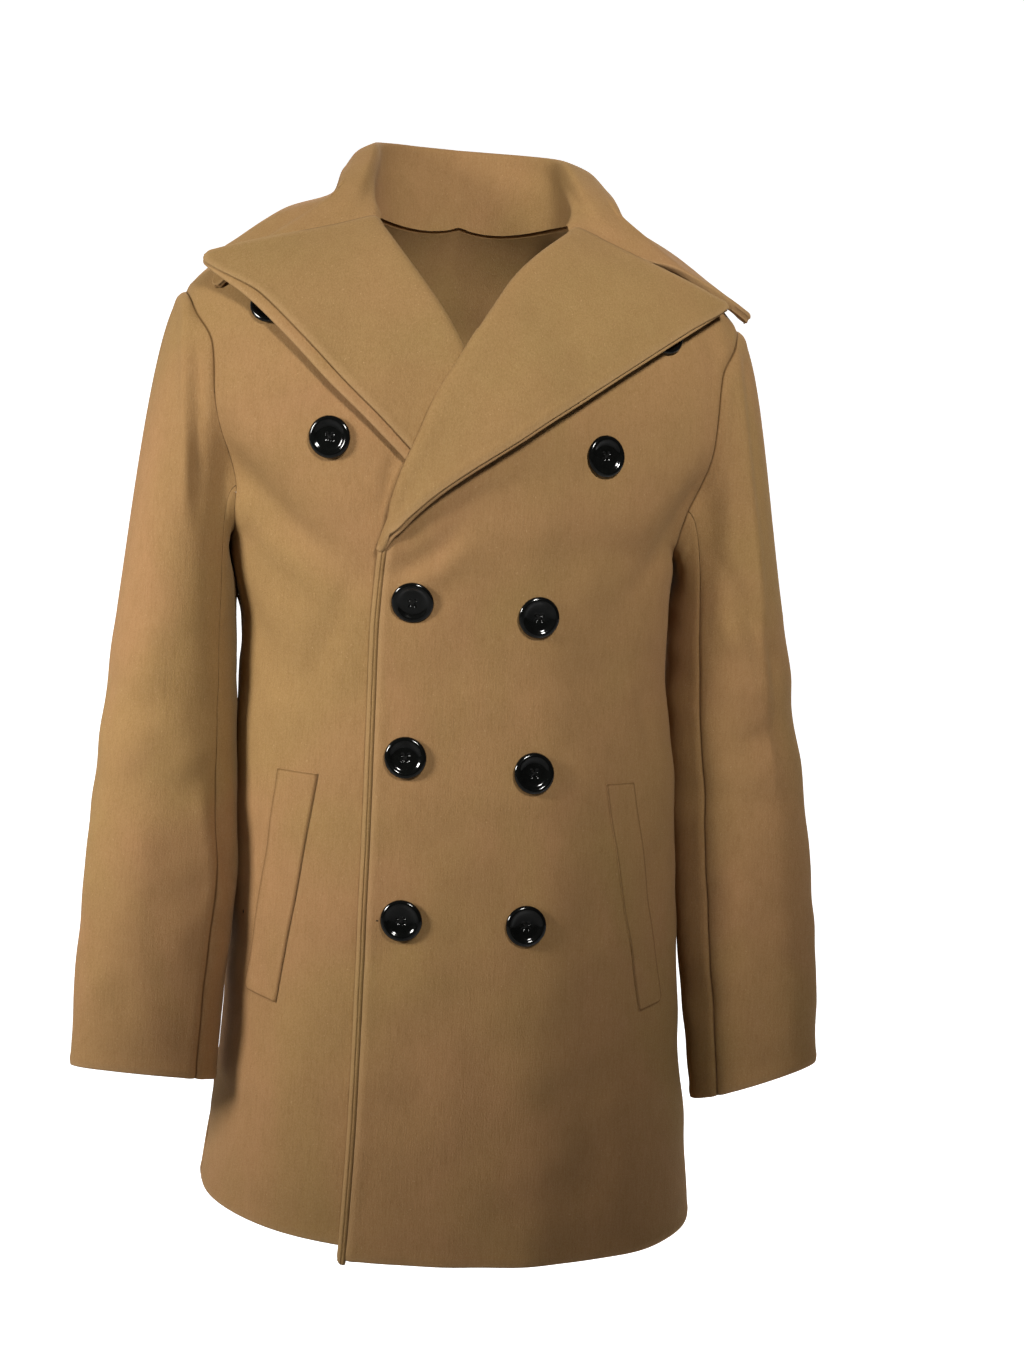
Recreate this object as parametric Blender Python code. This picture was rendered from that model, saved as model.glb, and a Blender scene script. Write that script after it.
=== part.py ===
"""Double-breasted pea coat, worn and hollow, as separate cut pieces of cloth.

Metres, +Z up. The coat faces -Y and the wearer's left is +X. The origin lies between
the shoulders, level with the base of the neck. Every panel is a wall between two
offsets from one skin: a torso of super-elliptic sections that closes over the shoulders.
"""

import math
from collections import namedtuple

import bpy
import numpy as np

# Driving dimensions
CLOTH = 0.0024            # wall of the melton panels
GAP = 0.0003              # clearance at every seam
LEAF = 0.0040             # wall of the two-layer collar
LAPEL_CLOTH = 0.0020      # one layer of a turned lapel
OVERLAP_EASE = 0.0007     # extra room between the two lapping fronts
LAPEL_ROOM = 0.0085       # room the left front leaves for the right lapel under it
LAP_FADE_X = (0.060, 0.120)   # the left front comes down to the skin between these places
LAP_FADE_Z = (-0.105, -0.060)
ROOM_MIDDLE = (-0.010, -0.172)
ROOM_REACH = (0.080, 0.110)
ROOM_SHIFT = 0.010        # the room for the lapel ends this much nearer the middle
LEAN = 0.020              # the left side hangs lower by this much for each metre of X

NECK_X = 0.084            # neck point on the shoulder seam
NECK_Z = 0.004
TIP_X = 0.2225            # shoulder tip, where the sleeve starts
SHOULDER_SLOPE = 0.38
TIP_DROP = 0.0204         # rounding of the padded shoulder at its tip
TIP_SHARPNESS = 8         # how late along the shoulder that rounding starts
ARMPIT_Z = -0.262
ROUNDING = 2.4            # how full the chest stays before it closes over the shoulder
NECK_BACK_Y = 0.066       # centre back of the neckline
NECK_TURN = 0.6           # how far the neckline has run sideways halfway up its front
SHOULDER_FROM = (0.45, 0.75)  # levels between which a wall turns from round the body to over the shoulder

LEFT_HEM = -0.811         # the left front hangs lower; the back's hem slants between the two
RIGHT_HEM = -0.7945
LIP_DROP = 0.003          # the lip ends this much below the left hem

BUTTON_RADIUS = 0.0162
BUTTON_HEIGHT = 0.0042
LIP_WIDTH = 0.0068        # facing that shows beside the left front edge

LOW_ROWS = 15             # rows of a panel below the armpit
TOP_ROWS = 10             # rows from the armpit to the shoulder, and sleeve columns a half
FRONT_COLUMNS = 13
BACK_HALF = 10            # columns from centre back to the side
BACK_NECK = 5             # of these, the ones that end on the neckline
CAP_ROWS = 7
ARM_ROWS = 12
SEAM_COLUMN = 7           # sleeve column of the front and back sleeve seams
SETTLE = 4                # rounds that settle places which depend on their own height
HALVINGS = 40
FINE = 80                 # points of a curve before it is spaced evenly
STEP = 0.0002             # step for directions on the skin
NEAR_TOP = 0.995          # directions are taken this far up and across at most
NEAR_SIDE = 0.97
SHARP_EDGE = 50.0         # degrees
COLOUR = {
    "cloth": ((0.300, 0.172, 0.070, 1.0), 0.92),
    "button": ((0.006, 0.006, 0.007, 1.0), 0.16),
}

Section = namedtuple("Section", "z half_width front back squareness centre")
TORSO = [
    Section(-0.830, 0.2085, 0.152, 0.140, 2.20, 0.0130),
    Section(-0.736, 0.1995, 0.149, 0.136, 2.20, 0.0140),
    Section(-0.657, 0.1910, 0.146, 0.133, 2.20, 0.0130),
    Section(-0.530, 0.1850, 0.140, 0.130, 2.25, 0.0100),
    Section(-0.440, 0.1820, 0.134, 0.124, 2.30, 0.0070),
    Section(-0.350, 0.1745, 0.128, 0.116, 2.30, 0.0025),
    Section(-0.262, 0.1800, 0.130, 0.118, 2.40, 0.0000),
    Section(-0.220, 0.1960, 0.131, 0.122, 2.40, 0.0000),
    Section(-0.170, 0.2210, 0.131, 0.127, 2.40, 0.0000),
    Section(-0.110, 0.2450, 0.127, 0.126, 2.35, 0.0000),
    Section(-0.050, 0.2620, 0.122, 0.120, 2.30, 0.0000),
    Section(0.050, 0.2750, 0.118, 0.112, 2.30, 0.0000),
]

# The armhole, by height over the armpit as a share of the way to the shoulder.
Armhole = namedtuple("Armhole", "level x")
ARMHOLE = [
    Armhole(0.00, 0.1800), Armhole(0.06, 0.1760), Armhole(0.16, 0.1800), Armhole(0.30, 0.1900),
    Armhole(0.50, 0.1975), Armhole(0.70, 0.2010), Armhole(0.86, 0.2070), Armhole(1.00, TIP_X),
]
ARMHOLE_CENTRE = (0.0, -0.166)    # y and z
ARMHOLE_HALF = (0.070, 0.097)
ARMHOLE_BOTTOM = 1.4              # how flat the armhole's lower end is

# Front edge and roll line of each front, from the hem up. x is towards the wearer's left.
EdgePoint = namedtuple("EdgePoint", "z x")
LEFT_EDGE = [
    EdgePoint(-0.830, -0.082), EdgePoint(-0.700, -0.076), EdgePoint(-0.585, -0.074),
    EdgePoint(-0.414, -0.072), EdgePoint(-0.320, -0.075), EdgePoint(-0.270, -0.074),
]
LEFT_ROLL = [
    EdgePoint(-0.250, -0.070), EdgePoint(-0.230, -0.064), EdgePoint(-0.203, -0.053),
    EdgePoint(-0.178, -0.043),
    EdgePoint(-0.145, -0.029), EdgePoint(-0.116, -0.012), EdgePoint(-0.071, 0.016),
    EdgePoint(-0.049, 0.030), EdgePoint(-0.030, 0.047), EdgePoint(-0.006, 0.074),
]
RIGHT_EDGE = [
    EdgePoint(-0.830, 0.052), EdgePoint(-0.600, 0.048), EdgePoint(-0.400, 0.040),
    EdgePoint(-0.265, 0.022),
]
RIGHT_ROLL = [
    EdgePoint(-0.250, 0.018), EdgePoint(-0.200, 0.009), EdgePoint(-0.150, -0.001),
    EdgePoint(-0.113, -0.013), EdgePoint(-0.094, -0.021), EdgePoint(-0.070, -0.031),
    EdgePoint(-0.045, -0.043), EdgePoint(-0.028, -0.054), EdgePoint(-0.004, -0.077),
]

# Outer edge of each lapel, from its break up to its tip, with how far it stands off the chest.
LapelPoint = namedtuple("LapelPoint", "along x z loft")
LEFT_LAPEL = [
    LapelPoint(0.00, -0.065, -0.2555, 0.0008), LapelPoint(0.08, -0.051, -0.235, 0.0020),
    LapelPoint(0.22, -0.015, -0.201, 0.0035), LapelPoint(0.38, 0.032, -0.168, 0.0055),
    LapelPoint(0.55, 0.076, -0.138, 0.0070), LapelPoint(0.70, 0.122, -0.107, 0.0080),
    LapelPoint(0.85, 0.168, -0.080, 0.0095), LapelPoint(0.95, 0.201, -0.066, 0.0120),
    LapelPoint(1.00, 0.209, -0.058, 0.0130),
]
RIGHT_LAPEL = [
    LapelPoint(0.00, 0.010, -0.252, 0.0008), LapelPoint(0.12, -0.018, -0.224, 0.0014),
    LapelPoint(0.25, -0.049, -0.193, 0.0030), LapelPoint(0.40, -0.079, -0.164, 0.0048),
    LapelPoint(0.55, -0.110, -0.136, 0.0062), LapelPoint(0.70, -0.140, -0.106, 0.0072),
    LapelPoint(0.85, -0.170, -0.075, 0.0100), LapelPoint(0.95, -0.192, -0.059, 0.0150),
    LapelPoint(1.00, -0.203, -0.051, 0.0170),
]
LEFT_FACING_INSET = 0.0034
RIGHT_FACING_INSET = 0.0105
LAPEL_ROWS = 15
LAPEL_COLUMNS = 8

# Profile of the roll, beyond the roll line (out) and above the panel (up).
RollPoint = namedtuple("RollPoint", "out up")
ROLL_CREST = 0.0014       # further rise of the lapel just past its roll
ROLL_START = 0.66         # how high the roll stands at the break, as a share of the rest
LAPEL_CEILING = 0.985     # the lapel's top edge stays this share of the way to the shoulder
FACING_EASE = 0.0005      # further room between a lapel and its facing
INSET_LIMIT = 0.6         # the facing keeps at least the rest of the lapel's width
RISE_BY = 0.35            # share of the lapel's length over which its roll reaches full height
ROLL = [RollPoint(0.0026, -0.0022), RollPoint(0.0033, 0.0008), RollPoint(0.0022, 0.0036)]

# Section of the lip: share of its width from the seam, and rise above the left front.
LIP = [RollPoint(0.0, -0.0002), RollPoint(0.33, 0.0007), RollPoint(0.75, 0.0003), RollPoint(1.0, -0.0009)]
LIP_TOP = 0.006           # the lip stops this far below the break

# Collar, from centre back to the side: crest of its fold, bend over the shoulder and edge.
CollarPoint = namedtuple(
    "CollarPoint", "around fold_x fold_y fold_z bend_x bend_y bend_z edge_x edge_y edge_z puff"
)
LEFT_COLLAR = [
    CollarPoint(0.00, 0.000, 0.080, 0.065, 0.000, 0.105, 0.030, 0.000, 0.114, -0.024, 0.002),
    CollarPoint(0.28, 0.043, 0.071, 0.064, 0.060, 0.094, 0.028, 0.076, 0.105, -0.026, 0.002),
    CollarPoint(0.52, 0.073, 0.043, 0.060, 0.100, 0.058, 0.021, 0.136, 0.078, -0.030, 0.003),
    CollarPoint(0.72, 0.081, 0.008, 0.053, 0.126, 0.014, 0.012, 0.184, 0.036, -0.036, 0.004),
    CollarPoint(0.87, 0.090, -0.027, 0.027, 0.124, -0.022, 0.007, 0.206, -0.008, -0.043, 0.003),
]
RIGHT_COLLAR = [
    CollarPoint(0.00, 0.000, 0.080, 0.065, 0.000, 0.105, 0.030, 0.000, 0.114, -0.024, 0.002),
    CollarPoint(0.28, 0.043, 0.071, 0.065, 0.060, 0.094, 0.029, 0.076, 0.105, -0.026, 0.002),
    CollarPoint(0.52, 0.071, 0.043, 0.062, 0.089, 0.057, 0.024, 0.134, 0.078, -0.029, 0.004),
    CollarPoint(0.72, 0.077, 0.008, 0.055, 0.104, 0.012, 0.015, 0.180, 0.034, -0.031, 0.006),
    CollarPoint(0.87, 0.086, -0.027, 0.027, 0.108, -0.024, 0.006, 0.190, -0.006, -0.034, 0.003),
]
STAND_HOLLOW = 0.002      # the stand leans in at its middle
FOLD_INSIDE = 0.010       # depth below the crest of the inner turn of the fold
TURN_EASE = 0.0050        # the collar lifts off the front where it turns into its gorge
Direction = namedtuple("Direction", "x y z")
TURN_AWAY = Direction(1.0, -0.5, 0.7)
FOLD_OVER = (0.45, 0.15)  # share of the way sideways and down from the crest to the bend
FOLD_DOWN = (0.76, 0.50)
# End of each collar half: its place, how far it runs past the lapel's tip, and between which
# shares of the gorge it sinks behind the lapel by how much, then leaves for its own place.
CollarTip = namedtuple("CollarTip", "x y z reach sink sink_from sink_by leave_from")
LEFT_TIP = CollarTip(0.226, -0.032, -0.062, 0.016, 0.0038, 0.70, 0.86, 0.86)
RIGHT_TIP = CollarTip(-0.198, -0.055, -0.062, 0.0, 0.0042, 0.55, 0.74, 0.70)
NOTCH_START = 0.55        # share of the gorge that is sewn
NOTCH_END = 0.9           # share of the gorge where the notch is fully open
CLEAR_BY = 0.4            # share of the gorge over which its end comes back from the roll line
TIP_STEPS = 5             # places over which the lapel's tip gives the collar's direction
NOTCH_OPENING = 0.0045
COLLAR_CLEAR = 0.0018     # the collar's end keeps this clear of the roll line
FALL_CLEAR = 0.0065       # height of the middle of the collar's wall above the shoulders, at least
GORGE_GAP = 0.0014
GORGE_CROWDING = 1.5      # knots of the collar's end lie closer together near the neck

SleeveRow = namedtuple("SleeveRow", "z x half_width y half_depth")
CuffTilt = namedtuple("CuffTilt", "out fore")
RIGHT_TILT = CuffTilt(0.08, 0.24)     # rise of the cuff for each metre outwards and forwards
LEFT_TILT = CuffTilt(0.34, 0.22)
RIGHT_SLEEVE = [
    SleeveRow(-0.300, 0.2225, 0.0460, -0.002, 0.070), SleeveRow(-0.380, 0.2275, 0.0505, -0.012, 0.063),
    SleeveRow(-0.460, 0.2305, 0.0545, -0.026, 0.056), SleeveRow(-0.550, 0.2335, 0.0585, -0.040, 0.049),
    SleeveRow(-0.640, 0.2390, 0.0585, -0.048, 0.044), SleeveRow(-0.690, 0.2405, 0.0575, -0.051, 0.041),
]
LEFT_SLEEVE = [
    SleeveRow(-0.300, 0.2290, 0.0455, -0.002, 0.070), SleeveRow(-0.380, 0.2375, 0.0505, -0.008, 0.063),
    SleeveRow(-0.460, 0.2465, 0.0530, -0.018, 0.056), SleeveRow(-0.550, 0.2545, 0.0545, -0.028, 0.049),
    SleeveRow(-0.640, 0.2630, 0.0535, -0.034, 0.044), SleeveRow(-0.690, 0.2665, 0.0515, -0.036, 0.041),
]
CAP_OUT = 0.030           # how far the sleeve leaves the armhole sideways before it turns down
CAP_CROWN = 0.035         # more of the same over the crown of the sleeve
CAP_FALL = 0.35
CAP_PULL = 1.15
SLEEVE_SQUARENESS = 2.15
SLEEVE_SEAM_ANGLE = 135.0

FOLD_FADE = 0.25          # share of a fold's length over which it fades in and out
# Soft folds: a trough or ridge along a line on the skin. side is -1 for front, +1 for back.
Fold = namedtuple("Fold", "side x0 z0 x1 z1 width height")
FOLDS = [
    Fold(-1, -0.185, -0.185, -0.110, -0.300, 0.024, -0.0036),
    Fold(-1, 0.178, -0.200, 0.115, -0.310, 0.024, -0.0030),
    Fold(1, -0.170, -0.205, -0.070, -0.320, 0.026, -0.0038),
    Fold(1, 0.172, -0.200, 0.075, -0.320, 0.026, -0.0036),
    Fold(1, -0.110, -0.350, 0.080, -0.362, 0.026, -0.0034),
    Fold(1, -0.110, -0.810, -0.085, -0.520, 0.028, 0.0050),
    Fold(1, 0.095, -0.810, 0.075, -0.560, 0.030, 0.0045),
    Fold(1, -0.010, -0.820, 0.000, -0.600, 0.034, -0.0035),
]
# Folds of a sleeve: centre angle round the arm (0 outside, 90 front), rise for each degree.
SleeveFold = namedtuple("SleeveFold", "angle z turn reach_angle reach_z height")
SLEEVE_FOLDS = [
    SleeveFold(60, -0.395, -0.00030, 55, 0.022, -0.0030),
    SleeveFold(95, -0.450, 0.00025, 50, 0.022, -0.0034),
    SleeveFold(-70, -0.410, 0.00020, 60, 0.024, -0.0030),
    SleeveFold(-110, -0.475, -0.00018, 50, 0.024, -0.0032),
]

Button = namedtuple("Button", "name x z")
BUTTONS = [
    Button("r1_right", -0.157, -0.078), Button("r1_left", 0.148, -0.081),
    Button("r2_right", -0.111, -0.175), Button("r2_left", 0.099, -0.177),
    Button("r3_right", -0.045, -0.295), Button("r3_left", 0.051, -0.302),
    Button("r4_right", -0.046, -0.415), Button("r4_left", 0.052, -0.423),
    Button("r5_right", -0.045, -0.540), Button("r5_left", 0.050, -0.541),
]

Welt = namedtuple("Welt", "name x_top_in x_top_out x_low_in x_low_out z_top z_low")
WELTS = [
    Welt("pocket_welt_right", -0.112, -0.141, -0.138, -0.161, -0.434, -0.619),
    Welt("pocket_welt_left", 0.113, 0.138, 0.151, 0.173, -0.432, -0.616),
]
WELT_CLOTH = 0.0018
WELT_ROWS = 13
WELT_COLUMNS = 4


def table(rows, key, *columns):
    """A smooth function through a table's rows that never overshoots them."""
    rows = sorted(rows, key=lambda row: getattr(row, key))
    at = np.array([getattr(r, key) for r in rows], float)
    value = np.array([[getattr(r, c) for c in columns] for r in rows], float)
    step = np.diff(at)[:, None]
    rise = np.diff(value, axis=0) / step
    slope = np.vstack([rise[:1], (rise[1:] + rise[:-1]) / 2, rise[-1:]])
    same_way = rise[1:] * rise[:-1] > 0
    total = rise[1:] + rise[:-1]
    harmonic = 2 * rise[1:] * rise[:-1] / np.where(same_way, total, 1.0)
    slope[1:-1] = np.where(same_way, harmonic, 0.0)

    def curve(t):
        t = np.clip(np.asarray(t, float), at[0], at[-1])
        i = np.clip(np.searchsorted(at, t, side="right") - 1, 0, len(at) - 2)
        h = step[i]
        f = ((t - at[i]))[..., None] / h
        a, b = value[i], value[i + 1]
        cubic = (
            a * (1 + 2 * f) * (1 - f) ** 2
            + slope[i] * h * f * (1 - f) ** 2
            + b * f * f * (3 - 2 * f)
            - slope[i + 1] * h * f * f * (1 - f)
        )
        return cubic[..., 0] if len(columns) == 1 else cubic

    return curve


def ease(low, high, value):
    """0 below low, 1 above high, and a smooth step between them."""
    f = np.clip((value - low) / (high - low), 0.0, 1.0)
    return f * f * (3 - 2 * f)


def unit(vectors):
    """The same directions with a length of one."""
    return vectors / np.maximum(np.linalg.norm(vectors, axis=-1, keepdims=True), 1e-12)


torso_at = table(TORSO, "z", "half_width", "front", "back", "squareness", "centre")
armhole_x = table(ARMHOLE, "level", "x")


def ridge_z(x):
    """Height of the shoulder seam above a place x."""
    run = np.abs(x) - NECK_X
    share = np.maximum(run / (TIP_X - NECK_X), 0.0)
    return NECK_Z - SHOULDER_SLOPE * run - TIP_DROP * share**TIP_SHARPNESS


def level_of(x, z):
    """Metres below the armpit (negative), or the share of the way up to the shoulder."""
    over = z - ARMPIT_Z
    return np.where(over > 0, over / (ridge_z(x) - ARMPIT_Z), over)


def height_of(x, level):
    """The height of a level at a place x; the reverse of level_of."""
    return ARMPIT_Z + np.where(level > 0, level * (ridge_z(x) - ARMPIT_Z), level)


def skin_y(x, z, side):
    """Depth of the skin on the front (side -1) or the back (side +1)."""
    t = torso_at(z)
    half, front, back, power, centre = (t[..., k] for k in range(5))
    across = np.clip(np.abs(x - centre) / half, 0.0, 1.0)
    section = (1 - across**power) ** (1 / power)
    level = np.clip(level_of(x, z), 0.0, 1.0)
    closing = (1 - level**ROUNDING) ** (1 / ROUNDING)
    return side * np.where(side < 0, front, back) * section * closing


def section_value(x, y, z):
    """1 on the skin, as a field that rises straight out of the body's round sections."""
    t = torso_at(z)
    half, front, back, power, centre = (t[..., k] for k in range(5))
    level = np.clip(level_of(x, z), 0.0, NEAR_TOP)
    closing = (1 - level**ROUNDING) ** (1 / ROUNDING)
    depth = np.where(y < 0, front, back) * closing
    return np.abs((x - centre) / half) ** power + np.abs(y / depth) ** power


def shoulder_value(x, y, z):
    """1 on the skin, as a field that rises up and over the shoulders."""
    t = torso_at(z)
    half, front, back, power, centre = (t[..., k] for k in range(5))
    across = np.clip(np.abs(x - centre) / half, 0.0, NEAR_SIDE)
    depth = np.where(y < 0, front, back) * (1 - across**power) ** (1 / power)
    level = np.maximum(level_of(x, z), 0.0)
    return np.abs(y / depth) ** ROUNDING + level**ROUNDING


def gradient(field, x, y, z):
    """Direction in which a field rises, scaled by a small step."""
    return np.stack([
        field(x + STEP, y, z) - field(x - STEP, y, z),
        field(x, y + STEP, z) - field(x, y - STEP, z),
        field(x, y, z + STEP) - field(x, y, z - STEP),
    ], axis=-1)


def skin_normal(points):
    """Outward direction of the skin at points on it."""
    x, y, z = (points[..., k] for k in range(3))
    upper = ease(*SHOULDER_FROM, level_of(x, z))[..., None]
    round_body = unit(gradient(section_value, x, y, z))
    over_shoulder = unit(gradient(shoulder_value, x, y, z))
    return unit(round_body * (1 - upper) + over_shoulder * upper)


def relief(x, z, side):
    """Height of the soft folds of a panel above its skin."""
    total = np.zeros(np.broadcast(x, z).shape)
    for fold in FOLDS:
        run = np.array([fold.x1 - fold.x0, fold.z1 - fold.z0])
        length = np.hypot(*run)
        dx, dz = x - fold.x0, z - fold.z0
        along = (dx * run[0] + dz * run[1]) / length**2
        off = (dx * run[1] - dz * run[0]) / length
        fade = ease(-FOLD_FADE, FOLD_FADE, along) * (1 - ease(1 - FOLD_FADE, 1 + FOLD_FADE, along))
        height = fold.height * fade * np.exp(-((off / fold.width) ** 2))
        total = total + np.where(side == fold.side, height, 0.0)
    return total


def on_skin(x, z, side, lift):
    """Points at a lift above the skin, folds included, and the skin's normals there."""
    base = np.stack(np.broadcast_arrays(x, skin_y(x, z, side), z), axis=-1)
    normal = skin_normal(base)
    return base + normal * (lift + relief(x, z, side))[..., None], normal


def left_lift(x, z):
    """How far the lapping left front lies above the skin."""
    over_right = (1 - ease(*LAP_FADE_X, x)) * (1 - ease(*LAP_FADE_Z, z))
    (middle_x, middle_z), (reach_x, reach_z) = ROOM_MIDDLE, ROOM_REACH
    reach = ((x - middle_x) / reach_x) ** 2 + ((z - middle_z) / reach_z) ** 2
    over_lapel = np.exp(-(reach**2)) * (1 - ease(*LAP_FADE_X, x + ROOM_SHIFT))
    return (CLOTH + GAP + OVERLAP_EASE) * over_right + LAPEL_ROOM * over_lapel


def no_lift(x, z):
    """A panel that lies on the skin itself."""
    return np.zeros(np.broadcast(x, z).shape)


def spaced(points, shares):
    """Places along a line at given shares of its length, which is taken over x, y and z."""
    points = np.asarray(points, float)
    steps = np.linalg.norm(np.diff(points[:, :3], axis=0), axis=1)
    along = np.concatenate([[0], np.cumsum(steps)])
    at = np.asarray(shares) * along[-1]
    return np.stack([np.interp(at, along, points[:, k]) for k in range(points.shape[1])], axis=1)


def armhole_rows(side):
    """Places (x, level) of the armhole's vertices, from the armpit to the shoulder tip."""
    level = np.sin(np.linspace(0, math.pi / 2, FINE)) ** ARMHOLE_BOTTOM
    x = armhole_x(level)
    y = skin_y(x, height_of(x, level), side)
    line = np.stack([x, y, height_of(x, level), level], axis=1)
    places = spaced(line, np.linspace(0, 1, TOP_ROWS + 1))
    return places[:, 0], places[:, 3]


def armhole_normal(points):
    """Direction away from the middle of the armhole, shared by panel and sleeve."""
    y = points[..., 1] - ARMHOLE_CENTRE[0]
    z = points[..., 2] - ARMHOLE_CENTRE[1]
    flat = [np.zeros_like(y), y / ARMHOLE_HALF[0] ** 2, z / ARMHOLE_HALF[1] ** 2]
    return unit(np.stack(flat, axis=-1))


def lean(points):
    """Drop each point by its share of the coat's lean."""
    points = points.copy()
    points[..., 2] -= LEAN * points[..., 0]
    return points


def closed_wall(outer, inner):
    """Vertices and faces of the solid between two grids of the same shape."""
    rows, columns = outer.shape[:2]
    count = rows * columns
    index = np.arange(count).reshape(rows, columns)
    vertices = np.vstack([outer.reshape(-1, 3), inner.reshape(-1, 3)])
    faces = []
    for i in range(rows - 1):
        for j in range(columns - 1):
            a, b, c, d = index[i, j], index[i, j + 1], index[i + 1, j + 1], index[i + 1, j]
            faces.append((a, b, c, d))
            faces.append((d + count, c + count, b + count, a + count))
    rim = [*index[0, :], *index[1:, -1], *index[-1, -2::-1], *index[-2:0:-1, 0]]
    for a, b in zip(rim, rim[1:] + rim[:1]):
        faces.append((b, a, a + count, b + count))
    return vertices, faces


def volume(vertices, faces):
    """Signed volume of a closed mesh."""
    total = 0.0
    for face in faces:
        for k in range(1, len(face) - 1):
            a, b, c = vertices[face[0]], vertices[face[k]], vertices[face[k + 1]]
            total += np.dot(a, np.cross(b, c)) / 6
    return total


def finish(name, vertices, faces, kind="cloth"):
    """One named object of a mesh, turned right side out, with its own material."""
    if volume(vertices, faces) < 0:
        faces = [face[::-1] for face in faces]
    mesh = bpy.data.meshes.new(name)
    mesh.from_pydata([tuple(map(float, v)) for v in vertices], [], [tuple(map(int, f)) for f in faces])
    mesh.shade_smooth()
    mesh.set_sharp_from_angle(angle=math.radians(SHARP_EDGE))
    thing = bpy.data.objects.new(name, mesh)
    bpy.context.collection.objects.link(thing)
    colour, roughness = COLOUR[kind]
    material = bpy.data.materials.new(name)
    material.use_nodes = True
    shader = material.node_tree.nodes["Principled BSDF"]
    shader.inputs["Base Color"].default_value = colour
    shader.inputs["Roughness"].default_value = roughness
    shader.inputs["Metallic"].default_value = 0.0
    mesh.materials.append(material)
    return thing


def cloth(name, outer, normal, thickness=CLOTH):
    """One piece of cloth, from its outer face inwards."""
    return finish(name, *closed_wall(lean(outer), lean(outer - normal * thickness)))


def row_angles(x, z):
    """Angle round the section of a place, 0 at the centre line and 90 degrees at the side."""
    t = torso_at(z)
    across = np.clip((x - t[..., 4]) / t[..., 0], -1.0, 1.0)
    return np.sign(across) * np.arcsin(np.abs(across) ** (t[..., 3] / 2))


def across_at(angle, z):
    """The place x at an angle round the section; the reverse of row_angles."""
    t = torso_at(z)
    return t[..., 4] + t[..., 0] * np.sign(angle) * np.abs(np.sin(angle)) ** (2 / t[..., 3])


def panel_places(inner_edge, outer_edge):
    """x and z of a front panel's grid between two edges, each a list of (x, level)."""
    share = np.linspace(0, 1, FRONT_COLUMNS + 1)[None, :]
    x_in, level_in = (np.array(inner_edge)[:, k, None] for k in range(2))
    x_out, level_out = (np.array(outer_edge)[:, k, None] for k in range(2))
    level = level_in + (level_out - level_in) * share
    x = x_in + (x_out - x_in) * share
    for _ in range(SETTLE):
        z = height_of(x, level)
        start = row_angles(x_in, height_of(x_in, level_in))
        end = row_angles(x_out, height_of(x_out, level_out))
        x = across_at(start + (end - start) * share, z)
        x[:, 0], x[:, -1] = x_in[:, 0], x_out[:, 0]
    return x, height_of(x, level)


def side_rows(hand):
    """Side seam places (x, level) of the rows below the armpit."""
    z = np.linspace(LEFT_HEM if hand > 0 else RIGHT_HEM, ARMPIT_Z, LOW_ROWS + 1)[:-1]
    t = torso_at(z)
    return np.stack([t[:, 4] + hand * t[:, 0], z - ARMPIT_Z], axis=1)


def front_edges(hand, edge, roll):
    """The inner and outer edges of a front, row by row from the hem to the shoulder."""
    arm_x, arm_level = armhole_rows(-1)
    outer = np.vstack([side_rows(hand), np.stack([hand * arm_x, arm_level], axis=1)])
    edge_x = table(edge + roll[:1], "z", "x")
    hem = LEFT_HEM if hand > 0 else RIGHT_HEM
    z = np.linspace(hem, roll[0].z, LOW_ROWS + 1)[:-1]
    low = np.stack([edge_x(z), level_of(edge_x(z), z)], axis=1)
    roll_x = table(roll, "z", "x")
    fine_z = np.linspace(roll[0].z, roll[-1].z, FINE)
    rolled = spaced(np.stack([roll_x(fine_z), fine_z], axis=1), np.linspace(0, 1, TOP_ROWS - 1))
    neck = neck_rise(hand, rolled[-1])
    top = np.stack([rolled[:, 0], level_of(rolled[:, 0], rolled[:, 1])], axis=1)
    return np.vstack([low, top, neck]), outer


def neck_rise(hand, junction):
    """Places (x, level) from the top of the roll line to the neck point, without the first."""
    start = level_of(junction[0], junction[1])
    angles = np.linspace(math.asin(float(start)), math.pi / 2, 3)[1:]
    level = np.sin(angles)
    x = junction[0] + (hand * NECK_X - junction[0]) * np.array([NECK_TURN, 1.0])
    return np.stack([x, level], axis=1)


def front_panel(name, hand, edge, roll, lift):
    """One front, which also stops at its side seam, armhole, shoulder seam and neckline."""
    inner, outer = front_edges(hand, edge, roll)
    x, z = panel_places(inner, outer)
    points, normal = on_skin(x, z, -1, lift(x, z))
    points[..., 1] -= GAP / 2
    normal[LOW_ROWS:, -1] = armhole_normal(points[LOW_ROWS:, -1])
    cloth(name, points, normal)
    return points


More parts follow.
